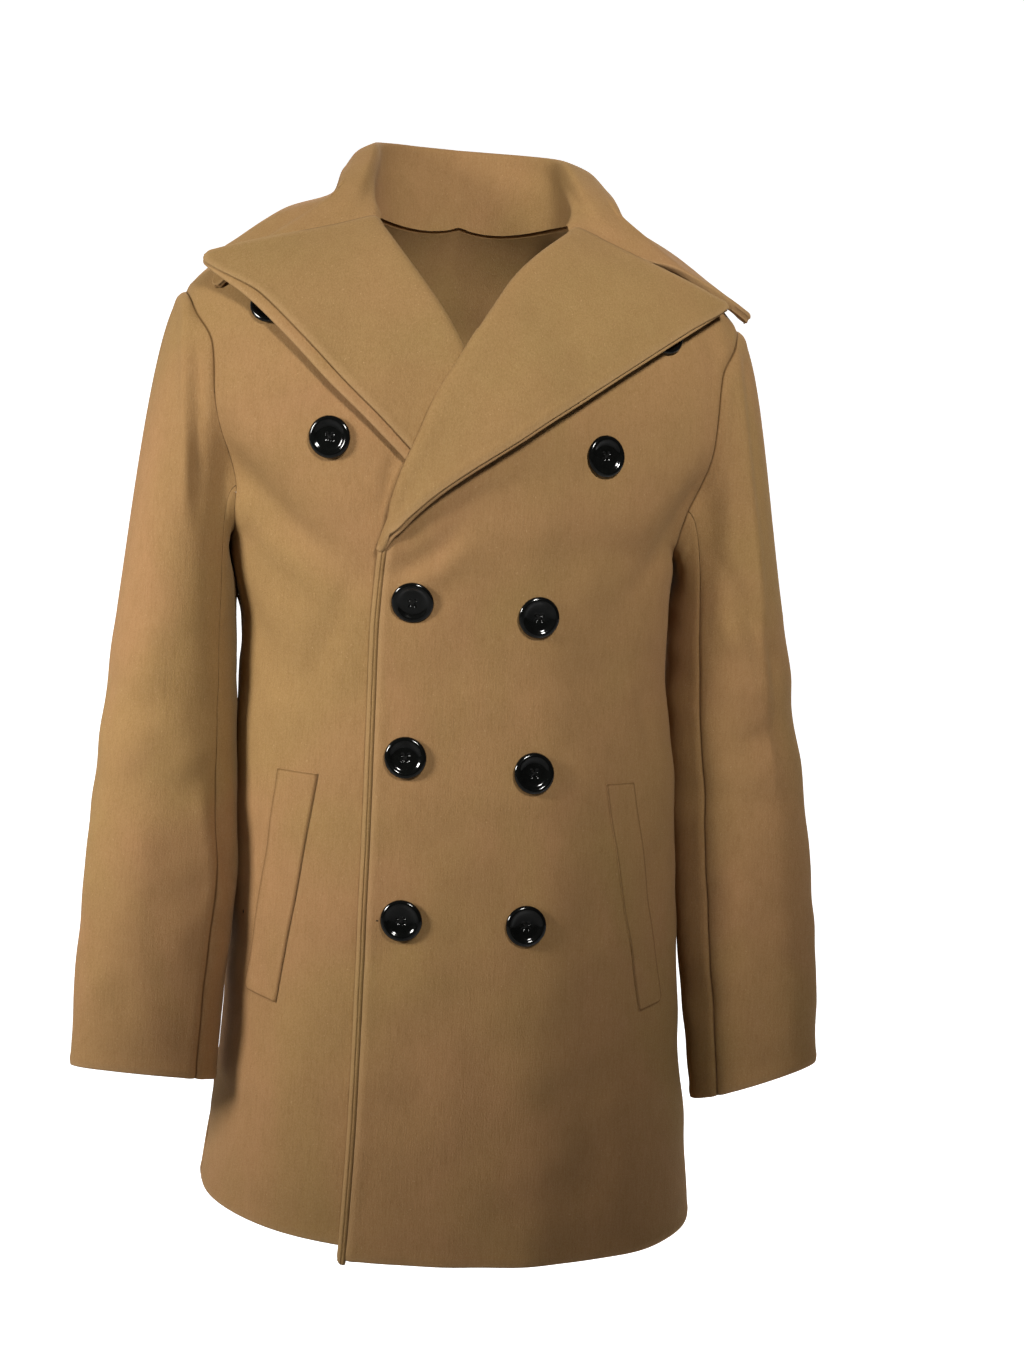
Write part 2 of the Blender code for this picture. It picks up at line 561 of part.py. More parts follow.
def back_panel():
    """The whole back, from one side seam to the other."""
    right_low, left_low = side_rows(-1), side_rows(1)
    angle = np.linspace(-1, 1, 2 * BACK_HALF + 1) * math.pi / 2
    across = (np.sin(angle) + 1) / 2
    rows_x, rows_z = [], []
    for right, left in zip(right_low, left_low):
        z = ARMPIT_Z + right[1] + (left[1] - right[1]) * across
        rows_x.append(across_at(angle, z))
        rows_z.append(z)
    arm_x, arm_level = armhole_rows(1)
    half = np.linspace(0, 1, BACK_HALF + 1)
    top_x, top_level = back_top()
    for k in range(TOP_ROWS + 1):
        share = ease(0, 1, k / TOP_ROWS)
        end = row_angles(arm_x[k], height_of(arm_x[k], arm_level[k]))
        even = k / TOP_ROWS
        level = top_level * (even + (arm_level[k] - even) * half**2)
        flat = half * arm_x[k]
        for _ in range(SETTLE):
            round_x = across_at(end * half, height_of(flat, level))
            flat = round_x * (1 - share) + top_x / TIP_X * arm_x[k] * share
        flat[-1] = arm_x[k]
        x = np.concatenate([-flat[::-1], flat[1:]])
        rows_x.append(x)
        rows_z.append(height_of(x, np.concatenate([level[::-1], level[1:]])))
    x, z = np.array(rows_x), np.array(rows_z)
    points, normal = on_skin(x, z, 1, no_lift(x, z))
    points[..., 1] += GAP / 2
    for column in (0, -1):
        normal[LOW_ROWS:, column] = armhole_normal(points[LOW_ROWS:, column])
    cloth("back", points, normal)
    return points


def back_top():
    """Places (x, level) of the back's top edge: half the neckline, then the shoulder seam."""
    turn = np.linspace(0, math.pi / 2, BACK_NECK + 1)
    seam = np.linspace(NECK_X, TIP_X, BACK_HALF - BACK_NECK + 1)[1:]
    neck_x = NECK_X * np.sin(turn)
    level = [level_at(x, y, 1) for x, y in zip(neck_x, NECK_BACK_Y * np.cos(turn))]
    return np.concatenate([neck_x, seam]), np.concatenate([level, np.ones(len(seam))])


def level_at(x, y, side):
    """The level at which the upper skin is y in front of or behind the middle, by halving."""
    low, high = 0.5, 1.0
    for _ in range(HALVINGS):
        middle = (low + high) / 2
        if abs(skin_y(np.array(x), height_of(np.array(x), np.array(middle)), side)) > y:
            low = middle
        else:
            high = middle
    return high


def shoulder_z(x, y):
    """Lowest height of the collar's middle line over a place on the shoulders."""
    level = level_at(x, abs(y), -1 if y < 0 else 1)
    return float(height_of(np.array(x), np.array(level))) + FALL_CLEAR


def grid_normal(points, outward):
    """Normals of a grid of points, turned to agree with a rough outward direction."""
    along = np.gradient(points, axis=0)
    across = np.gradient(points, axis=1)
    normal = unit(np.cross(along, across))
    flip = np.sign(np.sum(normal * outward, axis=-1, keepdims=True))
    return normal * np.where(flip == 0, 1, flip)


def lapel(word, edge, roll, inset, lift):
    """A turned lapel and its facing, from the roll line to the outer edge."""
    along = np.linspace(0, 1, LAPEL_ROWS + 1)
    roll_x = table(roll, "z", "x")
    fine_z = np.linspace(roll[0].z, roll[-1].z, FINE)
    hinge = spaced(np.stack([roll_x(fine_z), fine_z], axis=1), along)
    rim = table(edge, "along", "x", "z", "loft")(along)
    tip = rim[:, :2] - hinge
    width = np.linalg.norm(tip, axis=1)
    height = ROLL_START + (1 - ROLL_START) * ease(0.0, RISE_BY, along)
    share = np.linspace(0, 1, LAPEL_COLUMNS + 1)[1:]
    layers = []
    for cut in (np.zeros(len(along)), np.clip(inset / width, 0, INSET_LIMIT)):
        x, z, up = [], [], []
        for p in ROLL:
            x.append(hinge[:, 0] - tip[:, 0] / width * p.out)
            z.append(hinge[:, 1] - tip[:, 1] / width * p.out)
            up.append(p.up * height)
        near = (ROLL[-1].up + ROLL_CREST) * height
        for f in share:
            reach = f * (1 - cut)
            x.append(hinge[:, 0] + tip[:, 0] * reach)
            z.append(hinge[:, 1] + tip[:, 1] * reach)
            up.append(near + (rim[:, 2] + LAPEL_CLOTH - near) * ease(0, 1, reach))
        x, z, up = (np.stack(values, axis=1) for values in (x, z, up))
        z = np.minimum(z, height_of(x, np.full(x.shape, LAPEL_CEILING)))
        points, rough = on_skin(x, z, -1, up + lift(x, z))
        points[..., 1] -= GAP / 2
        layers.append((points, grid_normal(points, rough)))
    under, normal = layers[0]
    cloth(f"lapel_{word}", under, normal, LAPEL_CLOTH)
    face, face_normal = layers[1]
    raised = face + face_normal * (LAPEL_CLOTH + FACING_EASE)
    cloth(f"lapel_facing_{word}", raised, face_normal, LAPEL_CLOTH)
    return under, normal


def strip_lip():
    """The facing that shows as a lip along the edge of the left front."""
    edge_x = table(LEFT_EDGE + LEFT_ROLL[:1], "z", "x")
    z = np.linspace(LEFT_HEM - LIP_DROP, LEFT_ROLL[0].z - LIP_TOP, 2 * LOW_ROWS)[:, None]
    out = np.array([[p.out for p in LIP]]) * (LIP_WIDTH - GAP) + GAP
    crown = np.array([[p.up for p in LIP]])
    x = edge_x(z) - out
    z = np.broadcast_to(z, x.shape)
    points, normal = on_skin(x, z, -1, left_lift(x, z) + crown)
    points[..., 1] -= GAP / 2
    foot, _ = on_skin(x, z, -1, left_lift(x, z) - CLOTH)
    foot[..., 1] -= GAP / 2
    finish("facing_left", *closed_wall(lean(points), lean(foot)))


def collar(left_gorge, right_gorge, back_points, left_front, right_front):
    """Stand and fall in one wall, from one gorge round the neck to the other."""
    left = collar_half(1, LEFT_COLLAR, left_gorge, back_points, left_front)
    right = collar_half(-1, RIGHT_COLLAR, right_gorge, back_points, right_front)
    middle = np.concatenate([right, left[::-1][1:]], axis=0)
    along = np.gradient(middle, axis=0)
    across = np.gradient(middle, axis=1)
    normal = unit(np.cross(across, along))
    cloth("collar", middle + normal * LEAF / 2, normal, LEAF)


def collar_half(hand, rows, gorge, back_points, front_points):
    """Stations of half a collar, from the gorge to the centre back."""
    middle = back_points.shape[1] // 2
    neck_back = back_points[-1, middle:middle + BACK_NECK + 1]
    if hand < 0:
        neck_back = back_points[-1, middle - BACK_NECK:middle + 1][::-1]
    base = np.vstack([neck_back, front_points[-2:-1, 0]])
    around = np.concatenate([np.linspace(0, rows[-2].around, len(neck_back)), [rows[-1].around]])
    shape = table(rows, "around", *CollarPoint._fields[1:])
    stations = []
    for point, place in zip(base, around):
        values = shape(place)
        fold, bend, rim = (values[k:k + 3] * [hand, 1, 1] for k in (0, 3, 6))
        stations.append(collar_section(point, fold, bend, rim, values[9]))
    stations.append(gorge)
    fine = []
    for a, b in zip(stations, stations[1:]):
        fine += [a, (a + b) / 2]
    away = unit(np.array([-hand * TURN_AWAY.x, TURN_AWAY.y, TURN_AWAY.z])) * TURN_EASE
    fine[-1][:3] += away * np.array([[1.0], [0.7], [0.4]])
    for section in fine:
        section[-3:, 2] = np.maximum(section[-3:, 2], [shoulder_z(*p[:2]) for p in section[-3:]])
    fine.append(gorge)
    return np.array(fine)[::-1]


def collar_section(base, fold, bend, rim, puff):
    """Middle line of the collar's wall: up the stand, over the fold and down the fall."""
    out = unit((bend - fold) * [1.0, 1.0, 0.0])
    up = np.array([0.0, 0.0, 1.0])
    start = base + up * (2 * GAP) - out * LEAF / 2
    stand = (start + fold) / 2 - out * STAND_HOLLOW
    inside = fold - up * FOLD_INSIDE - out * STAND_HOLLOW
    over, down = (fold + (bend - fold) * [side, side, drop] for side, drop in (FOLD_OVER, FOLD_DOWN))
    spread = (bend + rim) / 2 + up * puff
    return np.array([start, stand, inside, fold, over, down, bend, spread, rim])


def gorge_section(under, normal, tip):
    """Middle line of the collar's end, just behind the top edge of the lapel."""
    top, below = under[-1], under[-2]
    line = top - normal[-1] * (LAPEL_CLOTH / 2 - GAP)
    fine = spaced(line, np.linspace(0, 1, FINE))
    end = fine[-1] + unit(fine[-1] - fine[-1 - TIP_STEPS]) * tip.reach
    share = np.linspace(0, 1, len(CollarPoint._fields) - 2)[:, None]
    places = spaced(np.vstack([fine, end]), share[:, 0] ** GORGE_CROWDING)
    lifted = unit(unit(top - below).mean(axis=0))
    aside = unit(line[0] - line[-1]) * np.array([1.0, 0.0, 0.0])
    clear = COLLAR_CLEAR * (1 - ease(0, CLEAR_BY, share))
    opening = NOTCH_OPENING * ease(NOTCH_START, NOTCH_END, share)
    sunk = tip.sink * ease(tip.sink_from, tip.sink_by, share)
    away = (np.array([tip.x, tip.y, tip.z]) - end) * ease(tip.leave_from, 1.0, share)
    return places + aside * clear + lifted * (GORGE_GAP + opening) - normal[-1, -1] * sunk + away


def sleeve(hand, word, arm, tilt, front_points, back_points):
    """Upper and under sleeve, from the armhole to the cuff."""
    ring = armhole_ring(hand, front_points, back_points)
    seam_normal = armhole_normal(ring)
    ring = ring + np.array([hand * GAP, 0.0, 0.0])
    angle = sleeve_angles()
    levels = np.linspace(arm[0].z, arm[-1].z, ARM_ROWS + 1)
    lower = [sleeve_ring(hand, arm, tilt, angle, z) for z in levels]
    first = lower[0]
    down = unit(sleeve_ring(hand, arm, tilt, angle, levels[0] - CAP_OUT) - first)
    length = np.linalg.norm(first - ring, axis=1, keepdims=True)
    crown = ((1 + np.cos(np.radians(angle))) / 2)[:, None]
    leave = unit(np.array([hand, 0.0, -CAP_FALL])) * (CAP_OUT + CAP_CROWN * crown)
    pull = down * length * CAP_PULL
    rows = [ring]
    for f in np.linspace(0, 1, CAP_ROWS + 1)[1:-1]:
        rows.append(ring * (1 + 2 * f) * (1 - f) ** 2 + leave * f * (1 - f) ** 2
                    + first * f * f * (3 - 2 * f) - pull * f * f * (1 - f))
    grid = np.array(rows + lower)
    closed = np.concatenate([grid[:, -2:-1], grid, grid[:, 1:2]], axis=1)
    centre = np.mean(grid[:, :-1], axis=1, keepdims=True)
    normal = grid_normal(closed, closed - centre)[:, 1:-1]
    normal[0] = seam_normal
    split_sleeve(word, grid, normal)


def split_sleeve(word, grid, normal):
    """Cut the tube at its two seams, leaving the seam's gap."""
    side = unit(np.gradient(grid, axis=1)) * GAP
    half = TOP_ROWS
    upper = slice(half - SEAM_COLUMN, half + SEAM_COLUMN + 1)
    points, directions = grid[:, upper].copy(), normal[:, upper]
    points[:, 0] += side[:, upper][:, 0]
    points[:, -1] -= side[:, upper][:, -1]
    cloth(f"sleeve_{word}_upper", points, directions)
    order = list(range(half + SEAM_COLUMN, 2 * half)) + list(range(0, half - SEAM_COLUMN + 1))
    points, directions = grid[:, order].copy(), normal[:, order]
    points[:, 0] += side[:, order][:, 0]
    points[:, -1] -= side[:, order][:, -1]
    cloth(f"sleeve_{word}_under", points, directions)


def armhole_ring(hand, front_points, back_points):
    """The armhole's vertices, from the armpit up the back, over the tip and down the front."""
    column = -1 if hand > 0 else 0
    back = back_points[LOW_ROWS:, column]
    front = front_points[LOW_ROWS:, -1]
    ring = np.vstack([back, front[::-1][1:]])
    ring[0] = ring[-1] = (back[0] + front[0]) / 2
    ring[len(back) - 1] = (back[-1] + front[-1]) / 2
    return ring


def sleeve_angles():
    """Angles of the columns: -180 at the armpit, 0 outside, 180 at the armpit again."""
    near = np.linspace(0, SLEEVE_SEAM_ANGLE, SEAM_COLUMN + 1)
    far = np.linspace(SLEEVE_SEAM_ANGLE, 180.0, TOP_ROWS - SEAM_COLUMN + 1)[1:]
    half = np.concatenate([near, far])
    return np.concatenate([-half[::-1], half[1:]])


def sleeve_ring(hand, arm, tilt, angle, z):
    """One section of the arm, tilted more the nearer it is to the cuff."""
    x, half_width, y, half_depth = table(arm, "z", "x", "half_width", "y", "half_depth")(z)
    turn = np.radians(angle)
    power = 2 / SLEEVE_SQUARENESS
    swell = np.zeros(len(angle))
    for fold in SLEEVE_FOLDS:
        off = (angle - fold.angle + 180) % 360 - 180
        rise = z - fold.z - fold.turn * off
        swell += fold.height * np.exp(-((off / fold.reach_angle) ** 2) - (rise / fold.reach_z) ** 2)
    out = np.sign(np.cos(turn)) * np.abs(np.cos(turn)) ** power * (half_width + swell)
    fore = np.sign(np.sin(turn)) * np.abs(np.sin(turn)) ** power * (half_depth + swell)
    rise = (tilt.out * out + tilt.fore * fore) * ease(arm[0].z, arm[-1].z, z)
    return np.stack([hand * (x + out), y - fore, z + rise], axis=1)


def welt(shape, lift):
    """A pocket welt lying on its front."""
    down = np.linspace(0, 1, WELT_ROWS)[:, None]
    over = np.linspace(0, 1, WELT_COLUMNS)[None, :]
    x_in = shape.x_top_in + (shape.x_low_in - shape.x_top_in) * down
    x_out = shape.x_top_out + (shape.x_low_out - shape.x_top_out) * down
    x = x_in + (x_out - x_in) * over
    z = shape.z_top + (shape.z_low - shape.z_top) * down + 0 * over
    points, normal = on_skin(x, z, -1, lift(x, z) + GAP + WELT_CLOTH)
    points[..., 1] -= GAP / 2
    cloth(shape.name, points, normal, WELT_CLOTH)


# Half section of a button, from the middle of its face round to its back.
RimPoint = namedtuple("RimPoint", "radius height")
BUTTON_PROFILE = [
    RimPoint(0.45, 0.50), RimPoint(0.62, 0.62), RimPoint(0.80, 1.00), RimPoint(0.94, 0.88),
    RimPoint(1.00, 0.55), RimPoint(0.93, 0.26), RimPoint(0.34, 0.22), RimPoint(0.30, 0.00),
]
BUTTON_SIDES = 20
BUTTON_SEAT = 0.004       # radius of the cloth that sets a button's direction


def button(shape, lift):
    """A dished round button on a short neck, square to the cloth under it."""
    places_x = shape.x + BUTTON_SEAT * np.array([0, 1, -1, 0, 0])
    places_z = shape.z + BUTTON_SEAT * np.array([0, 0, 0, 1, -1])
    seat, _ = on_skin(places_x, places_z, -1, lift(places_x, places_z))
    axis = unit(np.cross(seat[1] - seat[2], seat[3] - seat[4]))
    axis = axis * (1 if axis[1] < 0 else -1)
    side = unit(np.cross(axis, np.array([0.0, 0.0, 1.0])))
    up = np.cross(side, axis)
    turn = np.linspace(0, 2 * math.pi, BUTTON_SIDES, endpoint=False)
    rings = []
    for p in BUTTON_PROFILE:
        radius, height = p.radius * BUTTON_RADIUS, p.height * BUTTON_HEIGHT + 2 * GAP
        ring = (np.cos(turn)[:, None] * side + np.sin(turn)[:, None] * up) * radius
        rings.append(seat[0] + ring + axis * height)
    face = seat[0] + axis * (BUTTON_PROFILE[0].height * BUTTON_HEIGHT + 2 * GAP)
    back = seat[0] + axis * 2 * GAP
    vertices = lean(np.vstack([*rings, face[None], back[None]]))
    n, last = BUTTON_SIDES, len(rings) * BUTTON_SIDES
    faces = []
    for i in range(n):
        j = (i + 1) % n
        faces.append((i, j, last))
        faces.append((last - n + j, last - n + i, last + 1))
        for r in range(len(rings) - 1):
            faces.append((r * n + i, (r + 1) * n + i, (r + 1) * n + j, r * n + j))
    finish(f"button_{shape.name}", vertices, faces, "button")


def build():
    """The coat, piece by piece."""
    for thing in list(bpy.data.objects):
        bpy.data.objects.remove(thing, do_unlink=True)
    left = front_panel("front_left", 1, LEFT_EDGE, LEFT_ROLL, left_lift)
    right = front_panel("front_right", -1, RIGHT_EDGE, RIGHT_ROLL, no_lift)
    back_points = back_panel()
    strip_lip()
    left_top = lapel("left", LEFT_LAPEL, LEFT_ROLL, LEFT_FACING_INSET, left_lift)
    right_top = lapel("right", RIGHT_LAPEL, RIGHT_ROLL, RIGHT_FACING_INSET, no_lift)
    collar(gorge_section(*left_top, LEFT_TIP), gorge_section(*right_top, RIGHT_TIP),
           back_points, left, right)
    sleeve(1, "left", LEFT_SLEEVE, LEFT_TILT, left, back_points)
    sleeve(-1, "right", RIGHT_SLEEVE, RIGHT_TILT, right, back_points)
    for shape in WELTS:
        welt(shape, left_lift if shape.x_top_in > 0 else no_lift)
    for shape in BUTTONS:
        on_left = shape.x > LEFT_EDGE[3].x and shape.z < LEFT_ROLL[0].z or shape.x > 0
        button(shape, left_lift if on_left else no_lift)


build()
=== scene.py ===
"""Dressed pea coat: napped melton panels, turned edges, seams, soft folds and gloss buttons.

Every piece of cloth is a thin shell on the form that its solid has, with finer folds and
worked edges. Metres, +Z up, the coat faces -Y and the wearer's left is +X.
"""

from __future__ import annotations

import logging
import math
from dataclasses import dataclass, field
from enum import Enum
from typing import Callable, NamedTuple, Sequence

import bpy
import numpy as np
from mathutils import Matrix


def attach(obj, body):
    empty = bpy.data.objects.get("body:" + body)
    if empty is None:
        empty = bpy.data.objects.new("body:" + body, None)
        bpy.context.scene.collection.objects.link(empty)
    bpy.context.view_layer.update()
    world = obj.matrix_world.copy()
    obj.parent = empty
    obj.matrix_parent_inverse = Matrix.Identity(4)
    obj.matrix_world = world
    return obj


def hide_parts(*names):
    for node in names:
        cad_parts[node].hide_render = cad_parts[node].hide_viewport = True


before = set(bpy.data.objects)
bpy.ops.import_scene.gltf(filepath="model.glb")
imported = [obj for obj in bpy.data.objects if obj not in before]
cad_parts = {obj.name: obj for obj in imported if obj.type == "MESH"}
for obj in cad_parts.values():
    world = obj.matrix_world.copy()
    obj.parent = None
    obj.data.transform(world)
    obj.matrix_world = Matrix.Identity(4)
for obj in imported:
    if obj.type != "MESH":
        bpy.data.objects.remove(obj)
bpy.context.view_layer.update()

LOG = logging.getLogger("pea_coat")
Grid = np.ndarray
Lift = Callable[[Grid, Grid], Grid]
Socket = bpy.types.NodeSocket
Colour = tuple[float, float, float]
UP = np.array([0.0, 0.0, 1.0])
FRONT, BACK = -1, 1


# ---- Curves and small helpers ------------------------------------------------


def bridged(f: Grid, start: Grid, leave: Grid, end: Grid, arrive: Grid) -> Grid:
    """Cubic from start to end that sets out along leave and comes in along arrive."""
    return (start * (1 + 2 * f) * (1 - f) ** 2 + leave * f * (1 - f) ** 2
            + end * f * f * (3 - 2 * f) - arrive * f * f * (1 - f))


class Smooth:
    """A smooth curve through the rows of a table that never overshoots them."""

    def __init__(self, at: Sequence[float], value: Grid) -> None:
        """Keep the knots and work out their slopes.

        Args:
            at: knots, in rising order.
            value: one row of values for each knot.
        """
        self.at = np.asarray(at, float)
        self.value = np.asarray(value, float)
        shape = (-1,) + (1,) * (self.value.ndim - 1)
        self.step = np.diff(self.at).reshape(shape)
        rise = np.diff(self.value, axis=0) / self.step
        slope = np.concatenate([rise[:1], (rise[1:] + rise[:-1]) / 2, rise[-1:]])
        same_way = rise[1:] * rise[:-1] > 0
        total = np.where(same_way, rise[1:] + rise[:-1], 1.0)
        slope[1:-1] = np.where(same_way, 2 * rise[1:] * rise[:-1] / total, 0.0)
        self.slope = slope

    @classmethod
    def of(cls, rows: Sequence[NamedTuple]) -> "Smooth":
        """A curve through named rows whose first column is the knot."""
        ordered = sorted(rows, key=lambda row: row[0])
        return cls([row[0] for row in ordered], np.array([row[1:] for row in ordered], float))

    def __call__(self, place: Grid | float) -> Grid:
        """Values at places along the knots, held at both ends."""
        t = np.clip(np.asarray(place, float), self.at[0], self.at[-1])
        i = np.clip(np.searchsorted(self.at, t, side="right") - 1, 0, len(self.at) - 2)
        h = self.step[i]
        f = (t - self.at[i]).reshape(t.shape + (1,) * (self.value.ndim - 1)) / h
        cubic = bridged(f, self.value[i], self.slope[i] * h, self.value[i + 1], self.slope[i + 1] * h)
        return cubic[..., 0] if self.value.shape[-1] == 1 else cubic


def table(kind: type, *rows: tuple) -> tuple:
    """Named rows of one kind."""
    return tuple(kind(*row) for row in rows)


def ease(low: float, high: float, value: Grid | float) -> Grid:
    """0 below low, 1 above high, and a smooth step between them."""
    f = np.clip((np.asarray(value, float) - low) / (high - low), 0.0, 1.0)
    return f * f * (3 - 2 * f)


def bell(value: Grid | float, width: float) -> Grid:
    """A soft hump of height one round zero."""
    return np.exp(-((np.asarray(value, float) / width) ** 2))


def unit(vectors: Grid) -> Grid:
    """The same directions with a length of one."""
    return vectors / np.maximum(np.linalg.norm(vectors, axis=-1, keepdims=True), 1e-12)


def spaced(points: Grid, shares: Grid) -> Grid:
    """Places along a line at shares of its length, which is taken over x, y and z."""
    steps = np.linalg.norm(np.diff(points[:, :3], axis=0), axis=1)
    along = np.concatenate([[0.0], np.cumsum(steps)])
    at = np.asarray(shares) * along[-1]
    return np.stack([np.interp(at, along, points[:, k]) for k in range(points.shape[1])], axis=1)


CROWDED = np.array([0.0, 0.002, 0.0045, 0.008, 0.013])
CROWD_END = 0.020


def graded(count: int, start: bool = True, end: bool = True) -> Grid:
    """Shares from 0 to 1 that crowd towards worked edges.

    Args:
        count: number of even places between the edges.
        start: whether they crowd at 0.
        end: whether they crowd at 1.

    Returns:
        The shares, in rising order.
    """
    low = CROWDED if start else CROWDED[:1]
    high = 1.0 - CROWDED[::-1] if end else np.array([1.0])
    first = CROWD_END if start else 1.0 / count
    last = 1.0 - (CROWD_END if end else 1.0 / count)
    return np.concatenate([low, np.linspace(first, last, count), high])


def panel_rows(low: int, top: int) -> tuple[Grid, Grid]:
    """Shares of the rows of a panel, from the hem to the armpit and from there to the shoulder."""
    return graded(low, True, False)[:-1], np.concatenate([[0.0], graded(top, False, True)[1:]])


def ripple(u: Grid, v: Grid, length: float, seed: int) -> Grid:
    """Soft even unrest of about unit height.

    Args:
        u: one way across the cloth, in metres.
        v: the other way, in metres.
        length: usual distance from crest to crest, in metres.
        seed: number that fixes the pattern.

    Returns:
        The height at every place.
    """
    waves = 26
    dice = np.random.default_rng(seed)
    total = np.zeros(np.broadcast(u, v).shape)
    for turn, phase, stretch in dice.random((waves, 3)):
        number = 2 * math.pi / (length * (0.7 + 0.8 * stretch))
        angle = 2 * math.pi * turn
        total += np.cos(number * (u * math.cos(angle) + v * math.sin(angle)) + 2 * math.pi * phase)
    return total / math.sqrt(waves / 2)


def turned_near(normal: Grid, towards: Grid, points: Grid, edge: Grid, reach: float = 0.004) -> Grid:
    """Normals that turn to another direction within some millimetres of an edge."""
    near = bell(np.linalg.norm(points - edge, axis=-1)[..., None], reach)
    return unit(normal * (1 - near) + towards * near)


def lean(points: Grid, amount: float = 0.020) -> Grid:
    """Drop each point by its share of the coat's lean to the left."""
    leaned = points.copy()
    leaned[..., 2] -= amount * points[..., 0]
    return leaned


def round_corner(points: Grid, row: int, column: int, radius: float) -> Grid:
    """Round one corner of a nearly flat grid.

    Args:
        points: the grid.
        row: 0 or -1, the row of the corner.
        column: 0 or -1, its column.
        radius: how far from the corner the turn starts, in metres.

    Returns:
        The grid with that corner drawn in.
    """
    flipped = points[::-1] if row == -1 else points
    flipped = flipped[:, ::-1] if column == -1 else flipped
    share, inward = [], []
    for axis in (0, 1):
        steps = np.linalg.norm(np.diff(flipped, axis=axis), axis=-1)
        edge = np.zeros_like(np.take(steps, [0], axis=axis))
        run = np.concatenate([edge, np.cumsum(steps, axis=axis)], axis=axis)
        share.append(np.clip(1 - run / radius, 0.0, 1.0))
        inward.append(unit(np.gradient(flipped, axis=axis)))
    first, second = share
    pull_first = first * (1 - np.sqrt(1 - second**2 / 2)) * radius
    pull_second = second * (1 - np.sqrt(1 - first**2 / 2)) * radius
    rounded = flipped + inward[0] * pull_first[..., None] + inward[1] * pull_second[..., None]
    rounded = rounded[:, ::-1] if column == -1 else rounded
    return rounded[::-1] if row == -1 else rounded


def grid_normal(points: Grid, outward: Grid) -> Grid:
    """Normals of a grid, turned to agree with a rough outward direction."""
    normal = unit(np.cross(np.gradient(points, axis=0), np.gradient(points, axis=1)))
    flip = np.sign(np.sum(normal * outward, axis=-1, keepdims=True))
    return normal * np.where(flip == 0, 1, flip)


# ---- Finishes ----------------------------------------------------------------


class Mark(Enum):
    """Point marks that a shell carries for its finish."""

    WORN = "worn"
    # painted shade: darkens seam grooves, creases and the cloth under overlapping edges
    SEAM = "seam"


class Desk:
    """A material that is being mixed."""

    def __init__(self, name: str) -> None:
        """Start an empty material with its surface shader."""
        self.material = bpy.data.materials.new(name)
        self.material.use_nodes = True
        self.tree = self.material.node_tree
        self.shader = self.tree.nodes["Principled BSDF"]

    def add(self, kind: str, **settings: object) -> bpy.types.Node:
        """A new node with some of its settings."""
        node = self.tree.nodes.new(kind)
        for key, value in settings.items():
            setattr(node, key, value)
        return node

    def join(self, source: Socket, target: Socket) -> None:
        """Link one socket to another."""
        self.tree.links.new(source, target)

    def dial(self, node: bpy.types.Node, **values: object) -> None:
        """Set sockets of a node, named with underscores for spaces."""
        for key, value in values.items():
            node.inputs[key.replace("_", " ")].default_value = value

    def preset(self, **values: object) -> None:
        """Set sockets of the surface shader."""
        self.dial(self.shader, **values)

    def stretch(self, scale: tuple[float, float, float]) -> Socket:
        """Coordinates of the piece itself, stretched along its axes."""
        place = self.add("ShaderNodeTexCoord")
        mapping = self.add("ShaderNodeMapping")
        mapping.inputs["Scale"].default_value = scale
        self.join(place.outputs["Object"], mapping.inputs["Vector"])
        return mapping.outputs["Vector"]

    def noise(self, scale: tuple[float, float, float], detail: float, rough: float,
              distortion: float = 0.0) -> Socket:
        """Cloudy noise from 0 to 1 with features of about one over the scale in metres."""
        node = self.add("ShaderNodeTexNoise")
        self.dial(node, Scale=1.0, Detail=detail, Roughness=rough, Distortion=distortion)
        self.join(self.stretch(scale), node.inputs["Vector"])
        return node.outputs["Fac"]

    def spread(self, source: Socket, low: float, high: float, to_low: float, to_high: float) -> Socket:
        """A value carried from one range to another and held inside it."""
        node = self.add("ShaderNodeMapRange")
        self.join(source, node.inputs["Value"])
        self.dial(node, From_Min=low, From_Max=high, To_Min=to_low, To_Max=to_high)
        return node.outputs["Result"]

    def sum(self, first: Socket, second: Socket | float, how: str = "ADD") -> Socket:
        """Two values added, multiplied or otherwise brought together."""
        node = self.add("ShaderNodeMath", operation=how)
        self.join(first, node.inputs[0])
        if isinstance(second, float):
            node.inputs[1].default_value = second
        else:
            self.join(second, node.inputs[1])
        return node.outputs["Value"]

    def blend(self, share: Socket, first: object, second: object) -> Socket:
        """One colour turning into another."""
        node = self.add("ShaderNodeMix", data_type="RGBA")
        self.join(share, node.inputs[0])
        for socket, value in ((node.inputs[6], first), (node.inputs[7], second)):
            if isinstance(value, Socket):
                self.join(value, socket)
            else:
                socket.default_value = value
        return node.outputs[2]

    def mark(self, mark: Mark) -> Socket:
        """A mark that the shell carries at its points."""
        node = self.add("ShaderNodeAttribute", attribute_type="GEOMETRY", attribute_name=mark.value)
        return node.outputs["Fac"]

    def bump(self, height: Socket, distance: float, strength: float) -> None:
        """Fine relief of the surface."""
        node = self.add("ShaderNodeBump")
        self.dial(node, Strength=strength, Distance=distance)
        self.join(height, node.inputs["Height"])
        self.join(node.outputs["Normal"], self.shader.inputs["Normal"])


